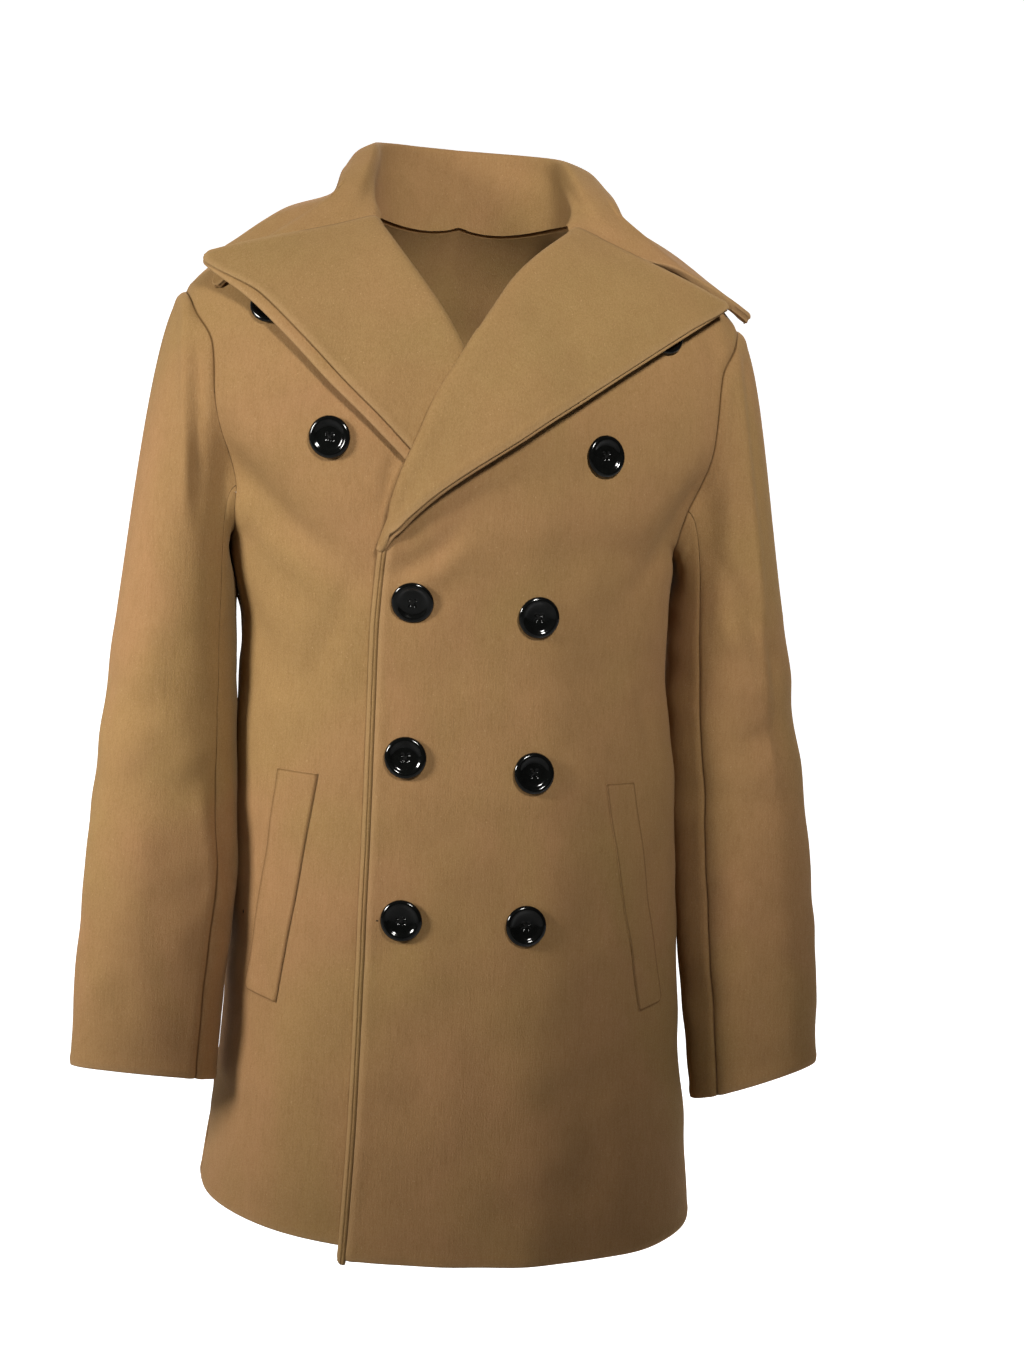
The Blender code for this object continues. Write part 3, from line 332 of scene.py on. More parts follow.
@dataclass(frozen=True)
class Melton:
    """Fulled wool with a short pressed nap, a faint grain down the piece and painted shade in its seams and
    creases.
    """

    name: str
    olive: Colour = (0.300, 0.184, 0.071)
    rosy: Colour = (0.338, 0.184, 0.084)
    shade: Colour = (0.205, 0.112, 0.040)
    tip: Colour = (0.480, 0.310, 0.160)
    # colour of the painted shade in seam grooves and creases
    groove: Colour = (0.085, 0.038, 0.012)
    rough: float = 0.92
    fuzz: float = 0.12

    def make(self) -> bpy.types.Material:
        """The cloth's material."""
        desk = Desk(self.name)
        clouds = desk.noise((8.0, 8.0, 6.0), 2.0, 0.55, 0.6)
        mottle = desk.noise((75.0, 75.0, 52.0), 3.0, 0.60)
        grain = desk.noise((620.0, 620.0, 60.0), 2.0, 0.60)
        nap = desk.noise((980.0, 980.0, 640.0), 3.0, 0.70, 0.5)
        fibres = desk.noise((2600.0, 2600.0, 1700.0), 3.0, 0.70, 0.8)
        specks = desk.noise((720.0, 720.0, 560.0), 1.0, 0.50)
        olive, rosy, shade, tip, groove = (
            (*colour, 1.0) for colour in (self.olive, self.rosy, self.shade, self.tip, self.groove)
        )
        tone = desk.blend(desk.spread(clouds, 0.36, 0.62, 0.0, 1.0), olive, rosy)
        tone = desk.blend(desk.spread(mottle, 0.38, 0.70, 0.0, 0.22), tone, shade)
        tone = desk.blend(desk.spread(grain, 0.42, 0.70, 0.0, 0.30), tone, shade)
        tone = desk.blend(desk.spread(nap, 0.38, 0.70, 0.0, 0.30), tone, tip)
        tone = desk.blend(desk.spread(fibres, 0.38, 0.62, 0.34, 0.0), tone, shade)
        tone = desk.blend(desk.spread(specks, 0.70, 0.80, 0.0, 0.50), tone, tip)
        tone = desk.blend(desk.spread(desk.mark(Mark.WORN), 0.0, 1.0, 0.0, 0.22), tone, tip)
        # painted shade: the seam-shade mark pulls the cloth towards the groove colour
        tone = desk.blend(desk.spread(desk.mark(Mark.SEAM), 0.15, 1.0, 0.0, 0.72), tone, groove)
        desk.join(tone, desk.shader.inputs["Base Color"])
        rough = desk.spread(nap, 0.3, 0.7, self.rough, self.rough - 0.08)
        desk.join(rough, desk.shader.inputs["Roughness"])
        desk.preset(Specular_IOR_Level=0.05, Sheen_Weight=self.fuzz, Sheen_Roughness=0.40,
                    Sheen_Tint=(1.0, 0.68, 0.38, 1.0))
        relief = desk.sum(desk.sum(nap, 0.85, "MULTIPLY"), desk.sum(fibres, 0.35, "MULTIPLY"))
        relief = desk.sum(relief, desk.sum(grain, 0.45, "MULTIPLY"))
        desk.bump(relief, 0.0009, 0.60)
        return desk.material


@dataclass(frozen=True)
class ButtonGloss:
    """Polished black resin with faint scuffs."""

    name: str = "button_gloss"
    colour: Colour = (0.0030, 0.0032, 0.0030)

    def make(self) -> bpy.types.Material:
        """The button's material."""
        desk = Desk(self.name)
        haze = desk.noise((260.0, 260.0, 260.0), 3.0, 0.6)
        scuffs = desk.noise((900.0, 140.0, 900.0), 4.0, 0.7, 1.5)
        black = (*self.colour, 1.0)
        grey = tuple(1.8 * part for part in self.colour) + (1.0,)
        tone = desk.blend(desk.spread(haze, 0.40, 0.75, 0.0, 0.6), black, grey)
        desk.join(tone, desk.shader.inputs["Base Color"])
        desk.join(desk.spread(scuffs, 0.35, 0.75, 0.07, 0.14), desk.shader.inputs["Roughness"])
        desk.preset(IOR=1.50)
        desk.bump(scuffs, 0.00004, 0.20)
        return desk.material


@dataclass(frozen=True)
class Thread:
    """Twisted sewing thread."""

    name: str
    colour: Colour

    def make(self) -> bpy.types.Material:
        """The thread's material."""
        desk = Desk(self.name)
        twist = desk.noise((2600.0, 2600.0, 2600.0), 2.0, 0.5)
        light = (*self.colour, 1.0)
        deep = tuple(0.55 * part for part in self.colour) + (1.0,)
        desk.join(desk.blend(desk.spread(twist, 0.35, 0.65, 0.0, 1.0), light, deep),
                  desk.shader.inputs["Base Color"])
        desk.preset(Roughness=0.7, Specular_IOR_Level=0.2)
        desk.bump(twist, 0.0002, 0.6)
        return desk.material


@dataclass(frozen=True)
class StudioPaint:
    """Matt pale paint of the floor and the wall behind; towards the back it glows and lights the coat like a
    lamp.
    """

    name: str = "studio_paint"
    colour: Colour = (0.90, 0.90, 0.90)
    glow: float = 0.80
    glow_from: tuple[float, float] = (0.45, 0.95)

    def make(self) -> bpy.types.Material:
        """The paint's material."""
        desk = Desk(self.name)
        mottle = desk.noise((1.3, 1.3, 1.3), 2.0, 0.5)
        pale = (*self.colour, 1.0)
        paler = tuple(min(1.0, 1.02 * part) for part in self.colour) + (1.0,)
        desk.join(desk.blend(mottle, pale, paler), desk.shader.inputs["Base Color"])
        desk.preset(Roughness=0.95, Specular_IOR_Level=0.1, Emission_Color=(1.0, 1.0, 1.0, 1.0))
        place = desk.add("ShaderNodeTexCoord")
        parts = desk.add("ShaderNodeSeparateXYZ")
        desk.join(place.outputs["Object"], parts.inputs["Vector"])
        # glow: the backdrop's emission rises towards the back and lights the coat from behind
        glow = desk.spread(parts.outputs["Y"], *self.glow_from, 0.0, self.glow)
        desk.join(glow, desk.shader.inputs["Emission Strength"])
        return desk.material


@dataclass
class Finishes:
    """The finishes of the coat, made once."""

    melton: bpy.types.Material
    # painted shade: the facing is the melton made darker and greener, for the lapels and the lip
    facing: bpy.types.Material
    gloss: bpy.types.Material
    black_thread: bpy.types.Material
    tan_thread: bpy.types.Material

    @classmethod
    def mixed(cls) -> "Finishes":
        """All finishes, ready for use."""
        return cls(
            melton=Melton("camel_melton").make(),
            # painted shade: a darker, greener copy of the melton
            facing=Melton("camel_melton_facing", (0.270, 0.172, 0.066), (0.290, 0.171, 0.071)).make(),
            gloss=ButtonGloss().make(),
            black_thread=Thread("black_thread", (0.0040, 0.0038, 0.0036)).make(),
            tan_thread=Thread("brown_thread", (0.055, 0.026, 0.011)).make(),
        )


# ---- Shells of cloth ---------------------------------------------------------


class Work(Enum):
    """How one edge of a cut piece is worked."""

    SEWN = "sewn to its neighbour"
    TURNED = "turned under and pressed"


@dataclass(frozen=True)
class Border:
    """One edge of a piece, the marks of its making and the painted shade in its seam's groove, in metres."""

    work: Work = Work.SEWN
    sink: float = 0.0007
    sink_width: float = 0.0016
    swell: float = 0.0004
    swell_at: float = 0.0060
    swell_width: float = 0.0040
    rubbed: float = 1.0
    rub_width: float = 0.0035
    sewn_rub: float = 0.08
    groove_width: float = 0.0009

    def offset(self, distance: Grid) -> Grid:
        """Rise of the outer face at a distance from the edge."""
        swell = self.swell * bell(distance - self.swell_at, self.swell_width)
        if self.work is Work.TURNED:
            return swell
        return swell - self.sink * bell(distance, self.sink_width)

    def seam(self, distance: Grid) -> Grid:
        """Painted shade in the seam's groove."""
        if self.work is Work.TURNED:
            return np.zeros(distance.shape)
        return bell(distance, self.groove_width)

    def wear(self, distance: Grid) -> Grid:
        """Rubbing of the nap near a turned edge."""
        share = 1.0 if self.work is Work.TURNED else self.sewn_rub
        return self.rubbed * bell(distance, self.rub_width) * share


SEWN = Border()
PLAIN = Border(Work.TURNED, swell=0.0)
TURNED = Border(Work.TURNED, swell=0.0007, swell_at=0.0045, swell_width=0.0040)


@dataclass(frozen=True)
class Cut:
    """The flat cut of a piece, before it is sewn: width, length and true area."""

    width: float
    length: float
    area: float


@dataclass
class Shell:
    """One closed shell of cloth between an outer and an inner face, named for its solid."""

    node: str
    points: Grid
    normal: Grid
    thickness: Grid | float
    borders: tuple[Border, Border, Border, Border]
    plump: float = 1.0
    rim_loops: int = 3
    groove: float = 0.0
    groove_turn: float = 0.35
    # painted shade lines: creases, gorges, the collar's slit and edges lying on other pieces
    crease: Grid | float = 0.0
    loud: tuple[Grid | float, Grid | float, Grid | float, Grid | float] = (1.0, 1.0, 1.0, 1.0)

    def distances(self) -> list[Grid]:
        """Distance of every point from the first and last row and column."""
        found = []
        for axis in (0, 1):
            steps = np.linalg.norm(np.diff(self.points, axis=axis), axis=-1)
            shape = list(self.points.shape[:2])
            shape[axis] = 1
            run = np.concatenate([np.zeros(shape), np.cumsum(steps, axis=axis)], axis=axis)
            found += [run, np.take(run, [-1], axis=axis) - run]
        return found

    def rim(self) -> tuple[list[tuple[int, int]], Grid, Grid]:
        """The edge all the way round.

        Returns:
            The grid places of the edge, the direction out of the piece at each, and how much
            of a rounded turn each has.
        """
        rows, columns = self.points.shape[:2]
        last_row, last_column = rows - 1, columns - 1
        places = [(0, j) for j in range(columns)]
        places += [(i, last_column) for i in range(1, rows)]
        places += [(last_row, j) for j in range(columns - 2, -1, -1)]
        places += [(i, 0) for i in range(rows - 2, 0, -1)]
        outward = np.zeros((len(places), 3))
        turned = np.zeros(len(places))
        for k, (i, j) in enumerate(places):
            sides = (
                (i == 0, (2, j)), (i == last_row, (rows - 3, j)),
                (j == 0, (i, 2)), (j == last_column, (i, columns - 3)),
            )
            for border, (on_it, inside) in zip(self.borders, sides):
                if on_it and border.work is Work.TURNED:
                    outward[k] += unit(self.points[i, j] - self.points[inside])
                    turned[k] = 1.0
        return places, unit(outward), turned

    def build(self, material: bpy.types.Material) -> bpy.types.Object:
        """Make the mesh with its marks.

        Args:
            material: the finish of both faces.

        Returns:
            The new piece.
        """
        distance = self.distances()
        offset = sum(border.offset(d) * k for border, d, k in zip(self.borders, distance, self.loud))
        worn = np.clip(sum(b.wear(d) for b, d in zip(self.borders, distance)), 0.0, 1.0)
        # painted shade: seam grooves and crease lines, kept in the seam-shade mark
        seam = sum(b.seam(d) * k for b, d, k in zip(self.borders, distance, self.loud)) + self.crease
        seam = np.clip(seam, 0.0, 1.0)
        thick = np.broadcast_to(self.thickness, self.points.shape[:2])[..., None]
        outer = lean(self.points + self.normal * offset[..., None])
        inner = lean(self.points - self.normal * thick)
        rows, columns = outer.shape[:2]
        count = rows * columns
        index = np.arange(count).reshape(rows, columns)
        a, b, c, d = index[:-1, :-1], index[:-1, 1:], index[1:, 1:], index[1:, :-1]
        quads = np.stack([a, b, c, d], axis=-1).reshape(-1, 4)
        places, outward, turned = self.rim()
        at = tuple(np.array(places).T)
        top, low = outer[at], inner[at]
        middle, half = (top + low) / 2, (top - low) / 2
        reach = np.linalg.norm(half, axis=1) * turned * self.plump
        vertices = [outer.reshape(-1, 3), inner.reshape(-1, 3)]
        loops = [index[at]]
        for k in range(1, self.rim_loops + 1):
            angle = math.pi / 2 - math.pi * k / (self.rim_loops + 1)
            pinch = 1.0 - self.groove * bell(angle, self.groove_turn)
            loops.append(2 * count + (k - 1) * len(places) + np.arange(len(places)))
            vertices.append(middle + half * math.sin(angle)
                            + outward * (reach * math.cos(angle) * pinch)[:, None])
        loops.append(index[at] + count)
        faces = [quads, quads[:, ::-1] + count]
        for first, second in zip(loops, loops[1:]):
            after, beyond = np.roll(first, -1), np.roll(second, -1)
            faces.append(np.stack([after, first, second, beyond], axis=-1))
        marks = {
            mark: np.concatenate([face.ravel(), 0 * face.ravel(), np.tile(rim, self.rim_loops)])
            for mark, face, rim in ((Mark.WORN, worn, turned), (Mark.SEAM, seam, 1 - turned))
        }
        return solid(f"{self.node}_cloth", np.vstack(vertices), np.vstack(faces), material, marks)

    def hang(self, material: bpy.types.Material, cut: Cut, *rests_on: str) -> bpy.types.Object:
        """Build the shell in place of its solid and state the flat cut that it was made from.

        Args:
            material: the finish of both faces.
            cut: the cut.
            rests_on: pieces that it lies on; not used.

        Returns:
            The new piece.
        """
        piece = settle(self.build(material), "melton", self.node)
        area = sum(face.area for face in piece.data.polygons) / 2
        LOG.info("%s: %.4f m2 of cloth for a cut of %.4f m2", piece.name, area, cut.area)
        return piece


def placed(name: str, data: bpy.types.ID) -> bpy.types.Object:
    """A new object of the scene."""
    thing = bpy.data.objects.new(name, data)
    bpy.context.collection.objects.link(thing)
    return thing


def tube(rings: int, size: int, start: int = 0, capped: bool = True) -> list[list[int]]:
    """Faces of a tube whose points lie ring after ring.

    Args:
        rings: number of rings.
        size: points in a ring.
        start: number of the first point.
        capped: whether both ends are closed.

    Returns:
        The faces, as rows of point numbers.
    """
    here = start + np.arange(size)
    after = np.roll(here, -1)
    wall = np.stack([here, here + size, after + size, after], axis=-1)
    faces = [face for low in range(rings - 1) for face in (wall + low * size).tolist()]
    if capped:
        faces += [here[::-1].tolist(), (here + (rings - 1) * size).tolist()]
    return faces


def solid(name: str, points: Grid, faces: Grid | list, material: bpy.types.Material,
          marks: dict[Mark, Grid] | None = None, sharp: float = 52.0) -> bpy.types.Object:
    """One mesh piece, turned right side out.

    Args:
        name: the piece's name.
        points: its vertices.
        faces: its faces, as rows of point numbers.
        material: its finish.
        marks: values that it carries at its points.
        sharp: angle in degrees from which an edge stays sharp.

    Returns:
        The new object.
    """
    listed = faces.tolist() if isinstance(faces, np.ndarray) else faces
    fan = np.array([(f[0], f[k], f[k + 1]) for f in listed for k in range(1, len(f) - 1)])
    a, b, c = (points[fan[:, k]] for k in range(3))
    if np.einsum("ij,ij->", a, np.cross(b, c)) < 0:
        listed = [face[::-1] for face in listed]
    mesh = bpy.data.meshes.new(name)
    mesh.from_pydata(points.tolist(), [], listed)
    mesh.materials.append(material)
    for mark, values in (marks or {}).items():
        layer = mesh.attributes.new(mark.value, "FLOAT", "POINT")
        layer.data.foreach_set("value", np.asarray(values, np.float32))
    mesh.shade_smooth()
    mesh.set_sharp_from_angle(angle=math.radians(sharp))
    return placed(name, mesh)


def settle(piece: bpy.types.Object, slot: str, *nodes: str) -> bpy.types.Object:
    """Hang a piece on the coat, in place of its solids if it has any."""
    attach(piece, "root")
    if nodes:
        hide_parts(*nodes)
    LOG.info("%s: %d faces", piece.name, len(piece.data.polygons))
    return piece


# ---- The worn form -----------------------------------------------------------


class Hand(Enum):
    """The wearer's right and left."""

    RIGHT = -1
    LEFT = 1

    @property
    def word(self) -> str:
        """Name used in the names of pieces."""
        return self.name.lower()


class Section(NamedTuple):
    """Level section of the body of the coat."""

    z: float
    half_width: float
    front: float
    back: float
    squareness: float
    centre: float


class Armhole(NamedTuple):
    """Armhole by height, as a share of the way from the armpit to the shoulder."""

    level: float
    x: float


class EdgePoint(NamedTuple):
    """A point of a front edge or roll line."""

    z: float
    x: float


class Fold(NamedTuple):
    """Trough or ridge along a bowed line on the form; side -1 is the front, +1 the back."""

    side: int
    x0: float
    z0: float
    x1: float
    z1: float
    width: float
    height: float
    bow: float = 0.0


def folded(folds: Sequence[Fold], x: Grid, z: Grid, side: int, fade_share: float = 0.25) -> Grid:
    """Height of all folds of one side.

    Args:
        folds: the folds, of both sides.
        x: places sideways.
        z: heights.
        side: -1 for the front, +1 for the back.
        fade_share: share of a fold's length over which it fades in and out.

    Returns:
        The rise above the form at every place.
    """
    total = np.zeros(np.broadcast(x, z).shape)
    for fold in folds:
        if fold.side != side:
            continue
        run_x, run_z = fold.x1 - fold.x0, fold.z1 - fold.z0
        length = math.hypot(run_x, run_z)
        along = ((x - fold.x0) * run_x + (z - fold.z0) * run_z) / length**2
        off = ((x - fold.x0) * run_z - (z - fold.z0) * run_x) / length
        off = off - fold.bow * (1 - (2 * along - 1) ** 2)
        fade = ease(-fade_share, fade_share, along) * (1 - ease(1 - fade_share, 1 + fade_share, along))
        total = total + fold.height * fade * bell(off, fold.width)
    return total


@dataclass(frozen=True)
class WornForm:
    """The hollow form of the worn coat: round sections that close over the shoulders."""

    wall: float = 0.0024
    gap: float = 0.0003
    neck_x: float = 0.084
    neck_z: float = 0.004
    tip_x: float = 0.2225
    slope: float = 0.38
    tip_drop: float = 0.0204
    tip_sharpness: float = 8.0
    armpit_z: float = -0.262
    rounding: float = 2.4
    neck_back_y: float = 0.066
    shoulder_from: tuple[float, float] = (0.45, 0.75)
    left_hem: float = -0.811
    right_hem: float = -0.7945
    overlap_ease: float = 0.0007
    lapel_room: float = 0.0085
    lap_fade_x: tuple[float, float] = (0.060, 0.120)
    lap_fade_z: tuple[float, float] = (-0.105, -0.060)
    room_middle: tuple[float, float] = (-0.010, -0.172)
    room_reach: tuple[float, float] = (0.080, 0.110)
    room_shift: float = 0.010
    unrest: float = 0.00038
    ridge_fade: tuple[float, float] = (-0.02, -0.09)
    near_ridge: float = 0.995
    near_side: float = 0.97
    torso: tuple[Section, ...] = table(
        Section,
        (-0.83, 0.2085, 0.152, 0.14, 2.2, 0.013), (-0.736, 0.1995, 0.149, 0.136, 2.2, 0.014),
        (-0.657, 0.191, 0.146, 0.133, 2.2, 0.013), (-0.53, 0.185, 0.14, 0.13, 2.25, 0.01),
        (-0.44, 0.182, 0.134, 0.124, 2.3, 0.007), (-0.35, 0.1745, 0.128, 0.116, 2.3, 0.0025),
        (-0.262, 0.18, 0.13, 0.118, 2.4, 0.0), (-0.22, 0.196, 0.131, 0.122, 2.4, 0.0),
        (-0.17, 0.221, 0.131, 0.127, 2.4, 0.0), (-0.11, 0.245, 0.127, 0.126, 2.35, 0.0),
        (-0.05, 0.262, 0.122, 0.12, 2.3, 0.0), (0.05, 0.275, 0.118, 0.112, 2.3, 0.0),
    )
    armhole: tuple[Armhole, ...] = table(
        Armhole,
        (0.0, 0.18), (0.06, 0.176), (0.16, 0.18), (0.3, 0.19), (0.5, 0.197), (0.7, 0.2007), (0.86, 0.2137),
        (0.93, 0.218), (1.0, 0.2225),
    )
    armhole_centre: tuple[float, float] = (0.0, -0.166)
    armhole_half: tuple[float, float] = (0.070, 0.097)
    armhole_bottom: float = 1.4
    seam_fade: tuple[float, float] = (-0.168, -0.128)
    seam_faded: float = 0.8
    seam_fade_foot: float = 0.03
    unrest_length: float = 0.055
    unrest_seed: int = 11
    fine: int = 240
    halvings: int = 40
    folds: tuple[Fold, ...] = table(
        Fold,
        (-1, -0.185, -0.185, -0.11, -0.3, 0.024, -0.0036), (-1, 0.178, -0.2, 0.115, -0.31, 0.024, -0.003),
        (1, -0.17, -0.205, -0.07, -0.32, 0.026, -0.0038), (1, 0.172, -0.2, 0.075, -0.32, 0.026, -0.0036),
        (1, -0.11, -0.35, 0.08, -0.362, 0.026, -0.0034), (1, -0.11, -0.81, -0.085, -0.52, 0.028, 0.005),
        (1, 0.095, -0.81, 0.075, -0.56, 0.03, 0.0045), (1, -0.01, -0.82, 0.0, -0.6, 0.034, -0.0035),
    )
    creases: tuple[Fold, ...] = table(
        Fold,
        (-1, -0.198, -0.186, -0.114, -0.264, 0.011, -0.0042, 0.004),
        (-1, -0.186, -0.222, -0.116, -0.292, 0.011, 0.0026, 0.003),
        (-1, -0.184, -0.16, -0.112, -0.226, 0.016, 0.0014, 0.004),
        (-1, -0.184, -0.262, -0.15, -0.345, 0.009, -0.0016, 0.003),
        (-1, -0.088, -0.28, -0.12, -0.366, 0.012, -0.0024, 0.002),
        (-1, -0.108, -0.3, -0.15, -0.42, 0.02, 0.0012, 0.004),
        (-1, -0.062, -0.186, -0.07, -0.226, 0.0055, -0.0022, 0.001),
        (-1, -0.176, -0.316, -0.178, -0.352, 0.012, -0.002),
        (1, -0.176, -0.316, -0.178, -0.352, 0.012, -0.002),
        (-1, -0.058, -0.274, -0.008, -0.234, 0.008, -0.0024, 0.003),
        (-1, -0.06, -0.288, -0.01, -0.258, 0.008, 0.0017, 0.003),
        (-1, -0.06, -0.304, -0.016, -0.286, 0.008, -0.0009, 0.002),
        (-1, -0.062, -0.33, -0.02, -0.356, 0.012, 0.0009, 0.004),
        (-1, 0.182, -0.2, 0.14, -0.276, 0.01, -0.0032, -0.004),
        (-1, 0.184, -0.166, 0.124, -0.24, 0.014, 0.0022, -0.004),
        (-1, 0.171, -0.248, 0.187, -0.27, 0.0046, -0.0026, 0.0),
        (-1, -0.18, -0.232, -0.174, -0.3, 0.012, 0.0042), (1, -0.18, -0.232, -0.174, -0.3, 0.012, 0.0042),
        (-1, 0.144, -0.362, 0.158, -0.408, 0.007, -0.0014, 0.002),
        (-1, 0.165, -0.48, 0.156, -0.535, 0.009, -0.0013, 0.002),
        (-1, -0.15, -0.356, -0.078, -0.378, 0.015, -0.0012, 0.006),
        (-1, 0.05, -0.352, 0.15, -0.336, 0.016, -0.0013, 0.006),
        (-1, -0.14, -0.8, -0.122, -0.64, 0.024, 0.0018, 0.004),
        (-1, -0.04, -0.82, -0.03, -0.62, 0.026, -0.0014, 0.004),
        (-1, 0.06, -0.82, 0.052, -0.61, 0.026, 0.0014, 0.004),
        (-1, 0.15, -0.81, 0.136, -0.64, 0.026, 0.0018, 0.004),
        (-1, 0.199, -0.058, 0.204, -0.096, 0.006, 0.0016, 0.001),
        (-1, 0.19, -0.07, 0.192, -0.12, 0.009, -0.0012, 0.001),
        (1, -0.182, -0.176, -0.11, -0.25, 0.012, 0.0026, 0.004),
        (1, 0.184, -0.18, 0.118, -0.244, 0.012, 0.0026, -0.004),
        (1, -0.186, -0.228, -0.112, -0.336, 0.0105, -0.0034, 0.006),
        (1, 0.188, -0.232, 0.118, -0.33, 0.0105, -0.0034, -0.006),
        (1, -0.174, -0.27, -0.134, -0.36, 0.01, 0.0026, 0.004),
        (1, -0.12, -0.392, 0.09, -0.38, 0.015, 0.0026, 0.006),
        (1, -0.09, -0.326, 0.07, -0.334, 0.013, 0.0024, -0.004),
        (1, 0.06, -0.4, 0.15, -0.372, 0.012, -0.0013, 0.004),
        (1, -0.05, -0.06, -0.06, -0.14, 0.02, -0.0012, 0.003),
        (1, 0.05, -0.06, 0.062, -0.14, 0.02, -0.0012, -0.003),
        (1, 0.15, -0.56, 0.158, -0.7, 0.016, -0.0024, 0.004),
        (1, -0.15, -0.54, -0.162, -0.7, 0.016, -0.0024, 0.004),
    )

    def ridge(self, x: Grid) -> Grid:
        """Height of the shoulder seam above a place x."""
        run = np.abs(x) - self.neck_x
        share = np.maximum(run / (self.tip_x - self.neck_x), 0.0)
        return self.neck_z - self.slope * run - self.tip_drop * share**self.tip_sharpness

    def level(self, x: Grid, z: Grid) -> Grid:
        """Metres below the armpit, or the share of the way up to the shoulder."""
        over = z - self.armpit_z
        return np.where(over > 0, over / (self.ridge(x) - self.armpit_z), over)

    def height(self, x: Grid, level: Grid) -> Grid:
        """The height of a level at a place x."""
        return self.armpit_z + np.where(level > 0, level * (self.ridge(x) - self.armpit_z), level)

    def section(self, z: Grid) -> list[Grid]:
        """Half width, front, back, squareness and centre at a height."""
        values = Smooth.of(self.torso)(z)
        return [values[..., k] for k in range(5)]

    def skin_y(self, x: Grid, z: Grid, side: int) -> Grid:
        """Depth of the form on its front (side -1) or back (side +1)."""
        half, front, back, power, centre = self.section(z)
        across = np.clip(np.abs(x - centre) / half, 0.0, 1.0)
        level = np.clip(self.level(x, z), 0.0, 1.0)
        closing = (1 - level**self.rounding) ** (1 / self.rounding)
        depth = front if side < 0 else back
        return side * depth * (1 - across**power) ** (1 / power) * closing

    def body_field(self, x: Grid, y: Grid, z: Grid) -> Grid:
        """A field that rises straight out of the round sections."""
        half, front, back, power, centre = self.section(z)
        level = np.clip(self.level(x, z), 0.0, self.near_ridge)
        depth = np.where(y < 0, front, back) * (1 - level**self.rounding) ** (1 / self.rounding)
        return np.abs((x - centre) / half) ** power + np.abs(y / depth) ** power

    def shoulder_field(self, x: Grid, y: Grid, z: Grid) -> Grid:
        """A field that rises up and over the shoulders."""
        half, front, back, power, centre = self.section(z)
        across = np.clip(np.abs(x - centre) / half, 0.0, self.near_side)
        depth = np.where(y < 0, front, back) * (1 - across**power) ** (1 / power)
        return np.abs(y / depth) ** self.rounding + np.maximum(self.level(x, z), 0.0) ** self.rounding

    def normal(self, points: Grid) -> Grid:
        """Outward direction of the form at points on it."""
        x, y, z = (points[..., k] for k in range(3))
        step = 0.0002

        def slope(rule: Callable[[Grid, Grid, Grid], Grid]) -> Grid:
            """Direction in which a field rises."""
            return unit(np.stack([
                rule(x + step, y, z) - rule(x - step, y, z),
                rule(x, y + step, z) - rule(x, y - step, z),
                rule(x, y, z + step) - rule(x, y, z - step),
            ], axis=-1))

        upper = ease(*self.shoulder_from, self.level(x, z))[..., None]
        return unit(slope(self.body_field) * (1 - upper) + slope(self.shoulder_field) * upper)

    def relief(self, x: Grid, z: Grid, side: int) -> Grid:
        """Height of the folds and creases above the form."""
        unrest = self.unrest * ripple(x, z, self.unrest_length, self.unrest_seed + side)
        below_ridge = ease(*self.ridge_fade, z - self.ridge(x))
        return unrest * below_ridge + folded(self.folds + self.creases, x, z, side)

    def on_skin(self, x: Grid, z: Grid, side: int, lift: Grid) -> tuple[Grid, Grid]:
        """Points at a lift above the form, folds included, and the form's normals there."""
        base = np.stack(np.broadcast_arrays(x, self.skin_y(x, z, side), z), axis=-1)
        normal = self.normal(base)
        return base + normal * (lift + self.relief(x, z, side))[..., None], normal

    def on_panel(self, x: Grid, z: Grid, side: int, lift: Grid) -> tuple[Grid, Grid]:
        """The same for a cut piece, which keeps half a gap clear of the other side."""
        points, normal = self.on_skin(x, z, side, lift)
        points[..., 1] += side * self.gap / 2
        return points, normal

    def left_lift(self, x: Grid, z: Grid) -> Grid:
        """How far the lapping left front lies above the form."""
        over_right = (1 - ease(*self.lap_fade_x, x)) * (1 - ease(*self.lap_fade_z, z))
        reach = ((x - self.room_middle[0]) / self.room_reach[0]) ** 2
        reach = reach + ((z - self.room_middle[1]) / self.room_reach[1]) ** 2
        over_lapel = bell(reach, 1.0) * (1 - ease(*self.lap_fade_x, x + self.room_shift))
        return (self.wall + self.gap + self.overlap_ease) * over_right + self.lapel_room * over_lapel

    def no_lift(self, x: Grid, z: Grid) -> Grid:
        """A panel that lies on the form itself."""
        return np.zeros(np.broadcast(x, z).shape)

    def armhole_line(self, side: int, shares: Grid) -> tuple[Grid, Grid]:
        """Places x and level of the armhole, by its length from the armpit to the tip."""
        level = np.sin(np.linspace(0, math.pi / 2, self.fine)) ** self.armhole_bottom
        x = Smooth.of(self.armhole)(level)
        z = self.height(x, level)
        line = np.stack([x, self.skin_y(x, z, side), z, level], axis=1)
        places = spaced(line, shares)
        return places[:, 0], places[:, 3]

    def armhole_normal(self, points: Grid) -> Grid:
        """Direction away from the middle of the armhole."""
        y = (points[..., 1] - self.armhole_centre[0]) / self.armhole_half[0] ** 2
        z = (points[..., 2] - self.armhole_centre[1]) / self.armhole_half[1] ** 2
        return unit(np.stack([np.zeros_like(y), y, z], axis=-1))

    def round_armhole(self, points: Grid, normal: Grid, armpit: int, *edges: int) -> None:
        """Turn a panel's normals to run on into the sleeve, along its armhole columns."""
        upper = points[armpit:]
        for edge in edges:
            seam = upper[:, edge][:, None]
            normal[armpit:] = turned_near(normal[armpit:], self.armhole_normal(upper), upper, seam)

